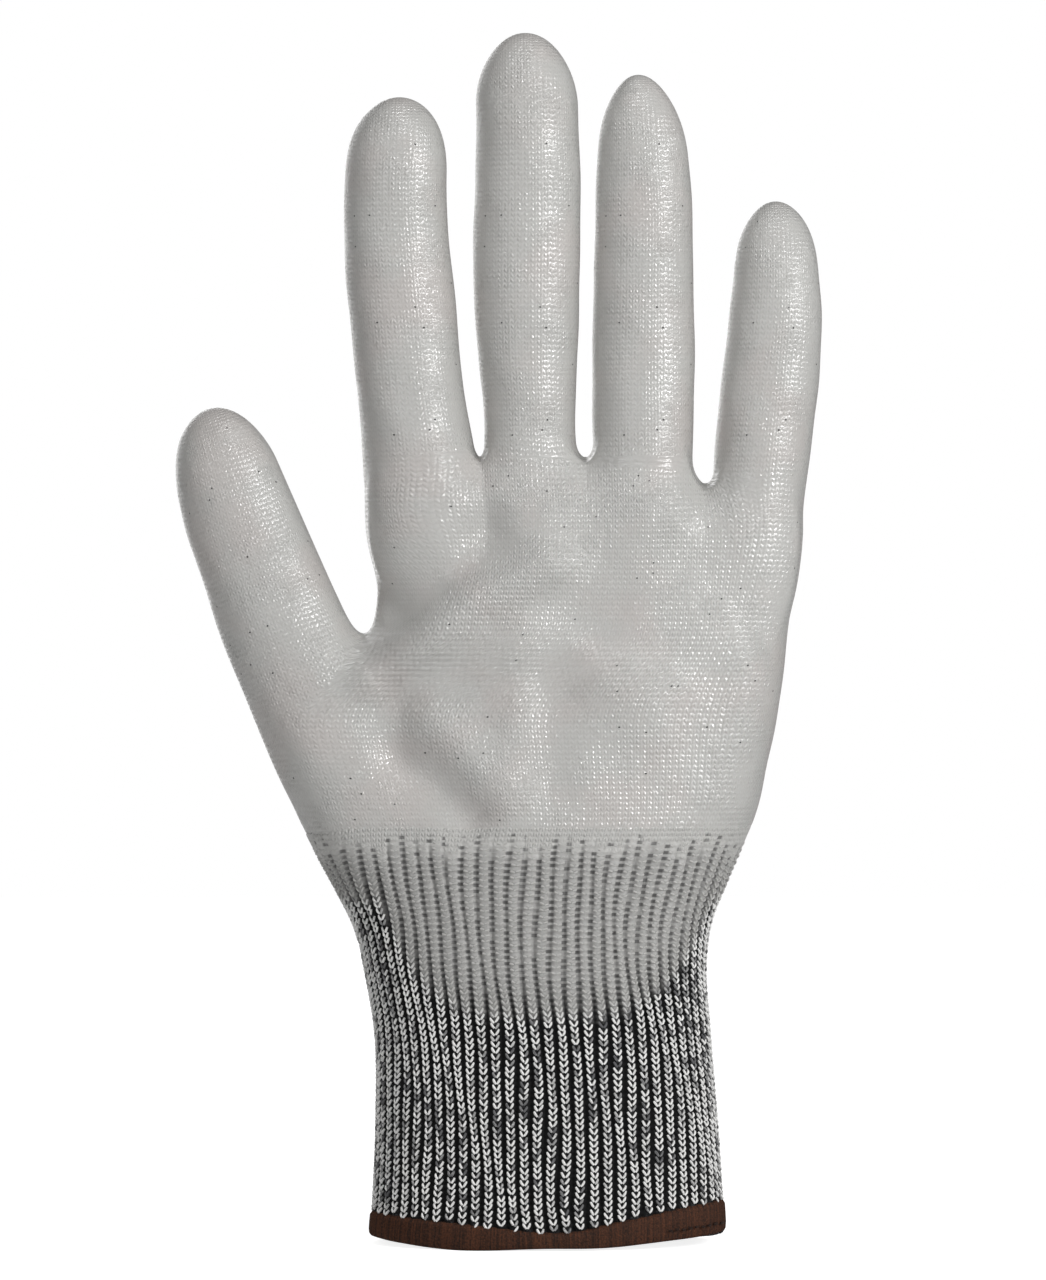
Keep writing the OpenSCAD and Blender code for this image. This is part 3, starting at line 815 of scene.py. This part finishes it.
def coated_knit_material(name):
    """Knit that is under a film of coating where its coat attribute is above zero."""
    g = Graph(name)
    u, v = g.knit()
    place = g.place()
    height, arm, course = loop_pattern(u, v)
    strand = g.noise(g.vector(u * 9.0, v * 3.0), 1.0, 3.0)
    tone = g.random(arm, course, 1.0) * 0.75 + strand * 0.45
    edge = g.attribute("coat") + (g.noise(place, 0.9, 3.0) - 0.5) * 2.4
    coated = edge.ramp(-0.3, 0.5)
    thick = edge.ramp(0.2, 5.0)
    hole = pinholes(g, u, v, thick)
    film = film_colour(g, place, height, thick, hole)
    rise = g.noise(place, 0.16, 3.0) * 0.8 + g.attribute("raised") * 0.13
    swell = rise.ramp(0.32, 0.62, 0.45, 1.1)
    film_height = height * FILM_LOOP_HEIGHT * swell + g.film_grain(place, swell) - hole * 0.25
    g.bump(film_height * coated + height * BARE_LOOP_HEIGHT * (1.0 - coated))
    gloss = g.noise(place, 1.5).ramp(0.3, 0.7, 0.18, 0.26)
    roughness = gloss * coated + 0.85 * (1.0 - coated)
    bare = bare_colour(g, tone.ramp(0.25, 0.75), height)
    return g.finish(g.mix(coated, bare, film), roughness, Specular_IOR_Level=0.8)


def rib_material(name):
    """The ground of the ribs: painted shade between them, and filled with coating higher up, which
    also takes painted shade between the stitches.
    """
    g = Graph(name)
    u, v = g.knit()
    place = g.place()
    crest = (u.fract() * math.pi).sine()
    edge = g.attribute("coat") + (g.noise(place, 0.7, 3.0) - 0.5) * 5.0
    coated = edge.ramp(-1.5, 3.0) * crest + edge.ramp(0.0, 11.0) * (1.0 - crest)
    rib = g.attribute("rib")

    number = (u + 0.5).floor()
    course = v + (number * 2.3).sine() * 0.3
    row = abs(course.fract() - 0.5)
    chance = g.random(number, course.floor(), 0.0)
    dots = crest.ramp(0.8, 0.35) * row.ramp(0.38, 0.2, 0.0, 0.72)
    dots = dots * (chance + rib * 0.6).ramp(0.5, 1.0) * rib.ramp(0.0, 0.1)
    # Painted shade: on full ribs the coating is darkened in the gaps between the stitches, and
    # more in the valleys between ribs.
    film = g.mix(crest.ramp(0.62, 0.1), COAT_GAP_PAINTED_SHADE, COAT_VALLEY_PAINTED_SHADE)
    film = g.mix(rib.ramp(0.1, 1.0), COAT_COLOUR, film)
    film = g.mix(dots, film, PINHOLE)

    ground = g.mix(g.noise(place, 2.5).ramp(0.45, 0.8, 0.0, 0.5), YARN_DARK, YARN_GREY)
    # Painted shade: the ground is darkest in the valleys between the ribs.
    ground = g.mix(crest.ramp(0.3, 0.8), YARN_DARK, ground)
    loops, arm, line = loop_pattern(u * (PALM_WALES / RIBS), v * (STITCH / COURSE))
    plain_knit = bare_colour(g, g.random(arm, line, 1.0), loops)
    ground = g.mix(rib.ramp(0.8, 0.45), ground, plain_knit)

    above = rib.ramp(0.4, 0.05)
    wave = (v * (2 * math.pi)).cosine() * (0.06 - above * 0.06)
    g.bump(wave + loops * (above * 0.2) + g.film_grain(place, 1.0))
    roughness = coated.ramp(0, 1, 0.9, 0.42)
    return g.finish(g.mix(coated, ground, film), roughness, Specular_IOR_Level=0.3)


def yarn_material(name):
    """Spun yarn: fine strands along each arm, a tone for each arm, and coating over some."""
    g = Graph(name)
    u, v = g.knit()
    strand = g.noise(g.vector(u * 2.5, v * 14.0), 1.0)
    tone = g.attribute("tone") + (strand - 0.5) * 0.75
    colour = g.mix(tone.ramp(0.15, 0.62), YARN_GREY, YARN_LIGHT)
    coated = g.attribute("coat").ramp(-1.0, 3.5)
    film = g.mix(strand.ramp(0.3, 0.8, 0.0, 0.15), COAT_COLOUR, COAT_DEEP)
    g.bump(strand * 0.12)
    roughness = coated.ramp(0, 1, 0.8, 0.48)
    return g.finish(g.mix(coated, colour, film), roughness, Specular_IOR_Level=0.4)


def lining_material(name):
    """The inner face of the knit, with painted shade between its loops."""
    g = Graph(name)
    u, v = g.knit()
    height, arm, course = loop_pattern(u, v)
    light = g.mix(g.random(arm, course, 5.0).ramp(0.3, 0.8), YARN_GREY, YARN_LIGHT)
    g.bump(height * 0.4)
    # Painted shade: the gaps between the loops take the near black colour.
    return g.finish(g.mix(height.ramp(0.1, 0.6), YARN_DARK, light), 0.9)


def thread_material(name, dark, light):
    """Sewing thread laid side by side."""
    g = Graph(name)
    u, _ = g.knit()
    fuzz = g.noise(g.place(), 2.6, 3.0, 0.7)
    share = g.random(u.floor(), 0.0, 0.0) * 0.2 + fuzz * 0.9
    g.bump(fuzz * 0.25)
    return g.finish(g.mix(share.ramp(0.25, 0.95), dark, light), 0.7, Specular_IOR_Level=0.3)


HEM_DARK = (0.012, 0.006, 0.004, 1)
HEM_LIGHT = (0.14, 0.048, 0.020, 1)
TAIL_DARK = (0.006, 0.003, 0.002, 1)
TAIL_LIGHT = (0.045, 0.017, 0.008, 1)
ELASTIC_DARK = (0.55, 0.54, 0.50, 1)
ELASTIC_LIGHT = (0.85, 0.84, 0.80, 1)

film_material = coated_knit_material("polyurethane_film")
knit_material = coated_knit_material("heather_knit")
rib_ground = rib_material("rib_ground")
rib_yarn = yarn_material("rib_yarn")
lining = lining_material("inner_knit")
hem_thread = thread_material("brown_thread", HEM_DARK, HEM_LIGHT)
tail_thread = thread_material("tail_thread", TAIL_DARK, TAIL_LIGHT)
elastic_thread = thread_material("elastic_thread", ELASTIC_DARK, ELASTIC_LIGHT)


# ------------ ribbed cuff and wrist

RIB_SEAM = 0.25
RIB_COLUMNS = 10
RIB_LOW = 2.2
RIB_TOP = 88.0
RIB_ROW = 0.62
RIB_HEIGHT = 0.85
RIB_WIDTH = 0.86
RIB_POWER = 2.15
SKIN_DEPTH = 0.9
PLAIN_CUFF_TOP = 62


def rib_wander(u, z):
    """How far the ribs stray sideways, as a share of a rib."""
    turn = u / RIBS * 2 * math.pi
    return (0.10 * np.sin(z / 7.1 + 7 * turn) + 0.05 * np.sin(z / 3.4 + 19 * turn + 2)
            + 0.22 * np.sin(z / 23 + 3 * turn + 1))


def rib_fade(u, z):
    """1 where the ribs stand at full height, down to 0 where the palm begins."""
    end = RIB_END + 0.9 * np.sin(np.floor(u) * 2.4) + 0.8 * np.sin(np.floor(u) * 5.1)
    return smoothstep(end + 1.2, end - 6.0, z)


def rib_profile(u):
    """A rounded rib with a narrow valley at each side, from 0 to 1."""
    middle = np.abs((u % 1) - 0.5) * 2
    return np.sqrt(np.clip(1 - (middle / RIB_WIDTH) ** 2.2, 0, 1))


def cuff_grid(columns, rows, low, high):
    """Places on the plain section of the cuff, at even shares of the way round."""
    heights = np.linspace(low, high, rows)
    points = np.empty((rows, columns, 3))
    number = np.arange(columns) / columns * RIBS
    for i, z in enumerate(heights):
        left, right = hand_left(z), hand_right(z)
        half = (right - left) / 2
        ratio = hand_depth(z) / half
        shares = round_shares(ratio, RIB_POWER)
        x, y = outline(ratio, RIB_POWER)
        wander = rib_wander(number, z) * smoothstep(2, 10, z)
        share = ((number + wander) / RIBS + RIB_SEAM) % 1
        points[i, :, 0] = (left + right) / 2 + half * np.interp(share, shares, x)
        points[i, :, 1] = half * np.interp(share, shares, y)
        points[i, :, 2] = z
    return points, number, heights


def make_ribs():
    """The ribbed ground from the hem to the start of the palm, as a grid.

    Gives its points before and after the ribs are raised, and at each point the rib number, the
    height and the share of the full rib.
    """
    rows = int((RIB_TOP - RIB_LOW) / RIB_ROW) + 1
    columns = RIBS * RIB_COLUMNS
    points, number, heights = cuff_grid(columns, rows, RIB_LOW, RIB_TOP)
    upper = heights > PLAIN_CUFF_TOP
    flat = points[upper].reshape(-1, 3)
    points[upper] = settle(glove_field, flat, 3).reshape(points[upper].shape)
    normals = grid_normals(points)
    u, z = np.meshgrid(number, heights)
    fade = rib_fade(u, z)
    rise = RIB_HEIGHT * (rib_profile(u) - 0.55) * fade
    tuck = 0.3 * smoothstep(NET_LOW + 1.4, RIB_TOP, z)
    plain = points.copy()
    points = points + normals * (rise - tuck)[..., None]
    return plain, points, u, z, fade


def on_grid(grid, u, z):
    """A value of the rib grid at a rib number and height, between its points."""
    row = (z - RIB_LOW) / (RIB_TOP - RIB_LOW) * (len(grid) - 1)
    return look_up(grid, row, (u * RIB_COLUMNS) % (RIBS * RIB_COLUMNS))


ARM_STATIONS = 5
ARM_SIDES = 5
ARM_RADIUS = 0.29
ARM_FLATNESS = 0.85
ARM_REACH = 0.23
ARM_LIFT = 0.24
FIRST_STITCH = RIB_LOW + 2.0
BARE_YARN = -9.0
BARE_GROUND = -12.0


def make_stitches(points, normals):
    """Yarn arms, two to a stitch, down the front of every rib, as arrays with a row for each."""
    courses = int((RIB_END + 1 - RIB_LOW - 1.6) / STITCH)
    rib, course, side = (each.reshape(-1, 1) for each in np.meshgrid(
        np.arange(RIBS), np.arange(courses), (-1, 1), indexing="ij"))
    jitter = rng.uniform(-1, 1, (4, len(rib)))[..., None]
    foot = FIRST_STITCH + STITCH * (course + 0.35 * np.sin(rib * 1.7)) + 0.1 * jitter[0]
    start = on_grid(points, rib + 0.5, foot)[:, 0]
    covered = smoothstep(-1, 11, coat_low(start)) * (start[:, 1] < COAT_SIDE)
    covered = covered[:, None]
    t = np.linspace(0, 1, ARM_STATIONS)[None, :]
    reach = ARM_REACH + 0.04 * covered + 0.03 * jitter[1]
    u = rib + 0.5 + side * (0.03 + reach * t ** 0.8)
    slant = 0.9 - 0.65 * covered
    z = foot + STITCH * (-0.4 + slant * t + 0.1 * jitter[2])
    centre = on_grid(points, u, z)
    normal = unit(on_grid(normals, u, z))
    coat = coat_low(centre.reshape(-1, 3)).reshape(u.shape)
    fade = rib_fade(rib, foot)
    sink = covered * (0.14 + 0.2 * (1 - fade))
    lift = ARM_LIFT * np.sin(math.pi * (0.12 + 0.8 * t)) - sink
    centre = centre + normal * lift[..., None]
    across = unit(np.cross(unit(np.gradient(centre, axis=1)), normal))
    radius = ARM_RADIUS * (0.72 + 0.28 * np.sin(math.pi * t))
    shape, ring = swept(centre, across, normal * ARM_FLATNESS, radius, ARM_SIDES)
    heather = (0.5 + 0.5 * np.sin(course * 0.19 + rib * 2.1 + 1.2 * np.sin(rib * 0.9))
               * np.sin(course * 0.07 + rib * 1.3))
    tone = 0.68 + 0.4 * (heather - 0.6) + 0.42 * jitter[3]
    coat = np.where(centre[..., 1] < COAT_SIDE, coat, BARE_YARN)
    # Each arm has its own part of the strands' grain
    shape_u = (t + course * 3.7)[..., None]
    shape_v = np.arange(ARM_SIDES) / ARM_SIDES + rib[..., None] * 1.3
    hidden = (fade < 0.03 * covered) | (foot < hem_line(start[:, :1], start[:, 1:2]) + 0.1)
    return {
        "points": shape,
        "normals": unit(ring),
        "uv": np.stack(np.broadcast_arrays(shape_u, shape_v), -1),
        "tone": np.broadcast_to(tone[..., None], shape.shape[:3]),
        "coat": np.broadcast_to(coat[..., None], shape.shape[:3]),
        "height": foot[:, 0],
        "hidden": hidden[:, 0],
    }


def stitch_piece(name, stitches, keep):
    """One piece of the stitches that are kept and not hidden."""
    kept = {key: each[keep & ~stitches["hidden"]] for key, each in stitches.items()}
    return make_piece(name, kept["points"], swept_faces(*kept["points"].shape[:3]),
                      kept["normals"], [rib_yarn], kept["uv"],
                      fields={key: kept[key].ravel() for key in ("tone", "coat")})


LINING_STEP = 2


def bend_wrist(piece):
    """Bakes a piece's placement into its points. It looks up the wrist's joint but does not bend
    the piece.
    """
    wrist, _ = joint_place("wrist_flex")
    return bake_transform(piece)


def knit_uv(u, z):
    return np.stack([u, z / STITCH], -1)


def build_cuff():
    """The ribbed ground, the stitches on it and the inner face, from the hem to the palm."""
    plain, points, u, z, fade = make_ribs()
    normals = grid_normals(points)
    flat = points.reshape(-1, 3)
    coat = np.where(flat[:, 1] < COAT_SIDE, coat_low(flat), BARE_GROUND)
    ground = make_piece("cuff_rib_ground", points, grid_faces(*u.shape), normals, [rib_ground],
                        knit_uv(u, z), wrap=RIBS, fields={"coat": coat, "rib": fade.ravel()})
    bend_wrist(ground)
    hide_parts("cuff_rib_knit", "wrist_stretch_knit")
    stitches = make_stitches(points, normals)
    low = stitches["height"] < (RIB_LOW + RIB_END) / 2
    for name, keep in (("cuff_rib_stitches", low), ("wrist_rib_stitches", ~low)):
        piece = stitch_piece(name, stitches, keep)
        bend_wrist(piece)
        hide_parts("cuff_rib_knit" if keep is low else "wrist_stretch_knit")
    inner = plain - grid_normals(plain) * (RIB_HEIGHT + SKIN_DEPTH)
    inner, u, z = (grid[::LINING_STEP, ::LINING_STEP] for grid in (inner, u, z))
    piece = make_piece("cuff_lining", inner, grid_faces(*u.shape)[:, ::-1], -grid_normals(inner),
                       [lining], knit_uv(u * 2, z), wrap=RIBS * 2)
    bend_wrist(piece)
    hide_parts("cuff_rib_knit")


# ------------ hem

HEM_WRAPS = 560
WRAP_COLUMNS = 3
HEM_OUT = 0.95
HEM_SPAN = 10.0
HEM_WAVES = 23
hem_top = smooth_curve((-37, 6.8), (-28, 6.2), (-19, 5.5), (-10, 4.7), (0, 3.8), (6, 4.0),
                       (13, 5.5), (21, 7.0), (28, 8.3), (37, 9.3))
hem_foot = smooth_curve((-37, 1.8), (-30, 1.0), (-20, 0.1), (0, 0.5), (12, 0.6), (24, 1.6),
                        (37, 2.6))


def hem_line(x, y):
    """The height of the hem's upper edge."""
    back = 6.0 + 0.035 * x + 0.4 * np.sin(x / 7)
    return back + (hem_top(x) - back) * smoothstep(9, -3, y)


def hem_floor(x, y):
    """The height of the hem's lower edge."""
    return 0.4 + (hem_foot(x) - 0.4) * smoothstep(12, -3, y)


def build_hem():
    """The binding: wraps of thread side by side over the cuff's edge, swept round it."""
    columns = HEM_WRAPS * WRAP_COLUMNS
    plain, _, _ = cuff_grid(columns, 2, 0.0, HEM_SPAN)
    base, upper = plain
    outward = grid_normals(plain)[0]
    x = base[:, 0]
    foot = hem_floor(x, base[:, 1])
    tall = hem_line(x, base[:, 1]) - foot
    wrap = np.cos(np.arange(columns) / WRAP_COLUMNS * 2 * math.pi)
    lean = 0.5 * np.sin(turns(columns) * HEM_WAVES)
    inside = RIB_HEIGHT + SKIN_DEPTH + HEM_OUT
    section = [(-0.5, 1.02), (0.5, 0.99), (0.95, 0.88), (1.0, 0.6), (1.0, 0.3), (0.85, 0.12),
               (0.5, 0.03), (0.0, 0.0), (-inside * 0.5, 0.0), (-inside * 0.85, 0.08),
               (-inside, 0.3), (-inside, 0.7), (-inside * 0.9, 0.95), (-inside * 0.7, 1.0)]
    rows = []
    for out, share in section[::-1]:
        rise = foot + share * tall
        point = base + (upper - base) * (rise / HEM_SPAN)[:, None]
        puff = HEM_OUT * out if out > 0 else out
        point = point + outward * (puff + 0.09 * wrap + 0.08 * lean)[:, None]
        point[:, 2] = np.maximum(rise + 0.05 * wrap * (share > 0.9), 0.0)
        rows.append(point)
    points = np.stack(rows)
    u, v = np.meshgrid(np.arange(columns) / WRAP_COLUMNS, np.linspace(0, 4, len(section)))
    piece = make_piece("hem_binding", points, grid_faces(*u.shape), grid_normals(points),
                       [hem_thread], np.stack([u, v], -1), wrap=HEM_WRAPS)
    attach(piece, "cuff")
    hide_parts("hem_overlock_binding")


TAIL_STITCHES = 9
TAIL_FIRST_X = 25.0
TAIL_STEP = 1.35
TAIL_LENGTH = 0.8
TAIL_HEIGHT = 2.2
TAIL_RADIUS = 0.32
TAIL_GAP = 0.42
TAIL_SIDES = 6
HEM_MIDDLE_X = 0.3
HEM_HALF_WIDTH = 36.8


def build_hem_tail():
    """The chain's end, sewn back along the hem near its lower edge in short stitches."""
    t = np.linspace(0, 1, 7)
    i = np.arange(TAIL_STITCHES)[:, None]
    x = TAIL_FIRST_X + TAIL_STEP * i + TAIL_LENGTH * t
    aside = np.abs((x - HEM_MIDDLE_X) / HEM_HALF_WIDTH) ** RIB_POWER
    deep = hand_depth(0.0) * np.maximum(1 - aside, 0) ** (1 / RIB_POWER)
    bow = 0.16 * np.sin(math.pi * t)
    height = hem_foot(x) + TAIL_HEIGHT + 0.12 * np.sin(i * 2.1)
    centre = np.stack([x, -deep - HEM_OUT - TAIL_GAP - bow, height], -1)
    up = np.broadcast_to([0, 0, 1.0], centre.shape)
    out = unit(np.cross(unit(np.gradient(centre, axis=1)), up))
    radius = TAIL_RADIUS * np.sqrt(np.sin(math.pi * np.clip(t, 0.04, 0.96)))
    points, _ = swept(centre, out, up, radius, TAIL_SIDES)
    number = np.arange(points.size // 3)
    piece = make_piece("hem_tail_stitches", points, swept_faces(*points.shape[:3]), None,
                       [tail_thread], np.stack([number % TAIL_SIDES, number / 9.0], 1))
    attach(piece, "cuff")
    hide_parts("hem_thread_tail")


# ------------ hand pieces

THUMB_SIDE = 8.4
THUMB_SEAM = np.array([-0.784, 0, 0.621])
THUMB_SEAM_ZONE = (106.8, 122.8)
THUMB_BEND_ZONE = (147.0, 167.0)
THUMB_SPLIT = THUMB_BEND_ZONE[0]
THUMB_BOX_X = -30
THUMB_BOX_Z = 180
FILM_DEPTH = 0.5
KNIT_DEPTH = 1.3
# Where each finger bends at its three joints, from its crotch
FINGER_ZONES = {
    "index": [(0.5, 19.5), (24, 44), (47, 63)], "middle": [(0.5, 19.5), (28, 48), (56, 72)],
    "ring": [(0.5, 19.5), (25, 45), (50, 66)], "little": [(0, 14), (16, 32), (33.5, 45.5)],
}


def place_parts(points):
    """For each point, the number of its finger, 4 for the thumb, or -1 for the palm."""
    x, y, z = points.T
    part = np.full(len(points), -1)
    nearest = np.full(len(points), 1e9)
    for i, finger in enumerate(FINGERS):
        away = finger.field(x, y, z)
        on = (finger.height(points) > 0) & (away < nearest)
        part[on] = i
        nearest[on] = away[on]
    on_thumb = (points @ THUMB_SEAM > THUMB_SEAM_ZONE[0]) & (points @ THUMB_ACROSS < THUMB_SIDE)
    part[on_thumb & (z < THUMB_BOX_Z) & (x < THUMB_BOX_X)] = len(FINGERS)
    return part


class Skin:
    """The skin above the ribs, which is cut into pieces of film and of bare knit."""

    def __init__(self):
        self.points, self.faces, self.normals = make_skin()
        self.coat = np.minimum(coat_side(self.points), coat_low(self.points))
        self.middle = self.points[self.faces].mean(1)
        self.filmed = self.coat[self.faces].mean(1) > 0

    def cut(self, name, chosen, knit, film):
        """The film or the bare knit among the chosen faces, with a lining."""
        used, faces = used_only(self.points, self.faces[chosen & (self.filmed == film)])
        points = self.points[used]
        u, v, wrap = knit(points)
        raised = palm_relief(points[:, 0], points[:, 2])
        return make_piece(name + ("_film" if film else "_knit"), points, faces,
                          self.normals[used], [film_material if film else knit_material, lining],
                          np.stack([u, v], 1), wrap=wrap,
                          fields={"coat": self.coat[used], "raised": raised},
                          thickness=FILM_DEPTH if film else KNIT_DEPTH)

    def cut_section(self, name, chosen, knit, film, bodies, zone, fabric):
        """A section of a finger or the thumb, cut and baked in place, with the model's part that
        it replaces hidden.
        """
        piece = self.cut(name, chosen, knit, film)
        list(bodies)
        tuple(zone[0] * MM)
        tuple(zone[1] * MM)
        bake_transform(piece)
        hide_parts(*([bodies[1] + "_coating"] if film else fabric))


def build_finger(skin, finger, chosen, film):
    """A finger's film or knit, cut half way between one joint's zone and the next."""
    height = finger.height(skin.middle)
    zones = FINGER_ZONES[finger.name]
    cuts = [-math.inf, (zones[0][1] + zones[1][0]) / 2, (zones[1][1] + zones[2][0]) / 2, math.inf]
    bodies = ["palm"] + [finger.name + end for end in ("_proximal", "_middle", "_tip")]
    stretch = [finger.name + end + "_stretch_knit" for end in ("_knuckle", "_joint", "_end")]
    for k, place in enumerate(("lower", "middle", "upper")):
        skin.cut_section(f"{finger.name}_{place}",
                         chosen & (height >= cuts[k]) & (height < cuts[k + 1]),
                         finger.knit, film, bodies[k:k + 2],
                         [finger.base + finger.along * s for s in zones[k]],
                         (bodies[k + 1] + "_knit", stretch[k]))


def build_thumb(skin, chosen, film):
    """The thumb's film or knit, cut at the lower end of the zone that bends."""
    lower = skin.middle @ THUMB_ALONG < THUMB_SPLIT
    skin.cut_section("thumb_lower", chosen & lower, thumb_knit, film, ("palm", "thumb_base"),
                     [THUMB_SEAM * s for s in THUMB_SEAM_ZONE],
                     ("thumb_root_stretch_knit", "thumb_base_knit"))
    skin.cut_section("thumb_upper", chosen & ~lower, thumb_knit, film, ("thumb_base", "thumb_tip"),
                     [THUMB_ALONG * s for s in THUMB_BEND_ZONE],
                     ("thumb_joint_stretch_knit", "thumb_tip_knit"))


def build_hand():
    """The palm, the fingers and the thumb, as film and then as bare knit."""
    skin = Skin()
    part = place_parts(skin.middle)
    for film in (True, False):
        piece = skin.cut("palm", part == -1, palm_knit, film)
        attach(piece, "palm")
        if film:
            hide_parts("palm_coating")
        else:
            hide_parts("lower_palm_knit", "upper_palm_knit", "thumb_root_knit",
                        *(f.name + "_root_knit" for f in FINGERS))
        for i, finger in enumerate(FINGERS):
            build_finger(skin, finger, part == i, film)
        build_thumb(skin, part == len(FINGERS), film)


def dress_elastic():
    """The elastic threads keep their shape and get a thread's material."""
    node = frame["nodes"]["cuff_elastic_threads"]
    for slot in node.material_slots:
        slot.material = elastic_thread


build_cuff()
build_hem()
build_hem_tail()
build_hand()
dress_elastic()


# ------------ floor, light and camera

FLOOR_SIZE_M = 4.0
ROOM_LIGHT = 0.20
BACKDROP_LIGHT = 1.0
FLOOR_GLOW = 0.85
CAMERA_PLACE_M = (-0.0047, -1.5, 0.1244)
VIEW_HEIGHT_M = 0.2643
LIT_PLACE_M = (0, 0, 0.13)


def build_stage():
    """A pale floor that glows for the camera alone."""
    g = Graph("pale_floor")
    seen = g.value("LightPath", "Is Camera Ray")
    g.put(g.shader.inputs["Emission Strength"], seen * FLOOR_GLOW)
    g.finish((0.90, 0.90, 0.90, 1), 0.9, Specular_IOR_Level=0.1, Emission_Color=(1, 1, 1, 1))
    half = FLOOR_SIZE_M / 2
    mesh = bpy.data.meshes.new("floor")
    mesh.from_pydata([(-half, -half, 0), (half, -half, 0), (half, half, 0), (-half, half, 0)],
                     [], [(0, 1, 2, 3)])
    mesh.materials.append(g.material)
    floor = add_object("floor", mesh)


def add_light(name, place, size, power):
    """A round lamp that faces the middle of the glove."""
    light = bpy.data.lights.new(name, "AREA")
    light.shape = "DISK"
    light.size = size
    light.energy = power
    lamp = add_object(name, light)
    lamp.location = place
    lamp.rotation_euler = (Vector(LIT_PLACE_M) - Vector(place)).to_track_quat("-Z", "Y").to_euler()


def build_light():
    """Soft light all round, and lamps at front right, above, at front left and behind."""
    world = bpy.data.worlds.new("studio")
    world.use_nodes = True
    background = world.node_tree.nodes["Background"]
    background.inputs["Color"].default_value = (1, 1, 1, 1)
    path = world.node_tree.nodes.new("ShaderNodeLightPath")
    strength = world.node_tree.nodes.new("ShaderNodeMapRange")
    strength.inputs["To Min"].default_value = ROOM_LIGHT
    strength.inputs["To Max"].default_value = BACKDROP_LIGHT
    world.node_tree.links.new(path.outputs["Is Camera Ray"], strength.inputs["Value"])
    world.node_tree.links.new(strength.outputs["Result"], background.inputs["Strength"])
    bpy.context.scene.world = world
    add_light("key", (0.72, -0.74, 0.42), size=0.28, power=5.7)
    add_light("top", (0.0, -0.42, 1.0), size=0.26, power=2.3)
    add_light("glint", (-0.42, -0.85, 0.45), size=0.09, power=0.8)
    add_light("rear", (-0.5, 1.3, 0.35), size=1.0, power=4.0)


def build_camera():
    """A camera in front that looks level and sees VIEW_HEIGHT_M at the glove."""
    camera = bpy.data.cameras.new("camera")
    camera.sensor_width = 36
    distance = -CAMERA_PLACE_M[1]
    camera.lens = camera.sensor_width / 2 / (VIEW_HEIGHT_M / 2 / distance)
    camera.clip_start = 0.01
    camera.clip_end = 20
    holder = add_object("camera", camera)
    holder.location = CAMERA_PLACE_M
    holder.rotation_euler = (math.pi / 2, 0, 0)
    bpy.context.scene.camera = holder


build_stage()
build_light()
build_camera()
bpy.context.scene.view_settings.view_transform = "Standard"
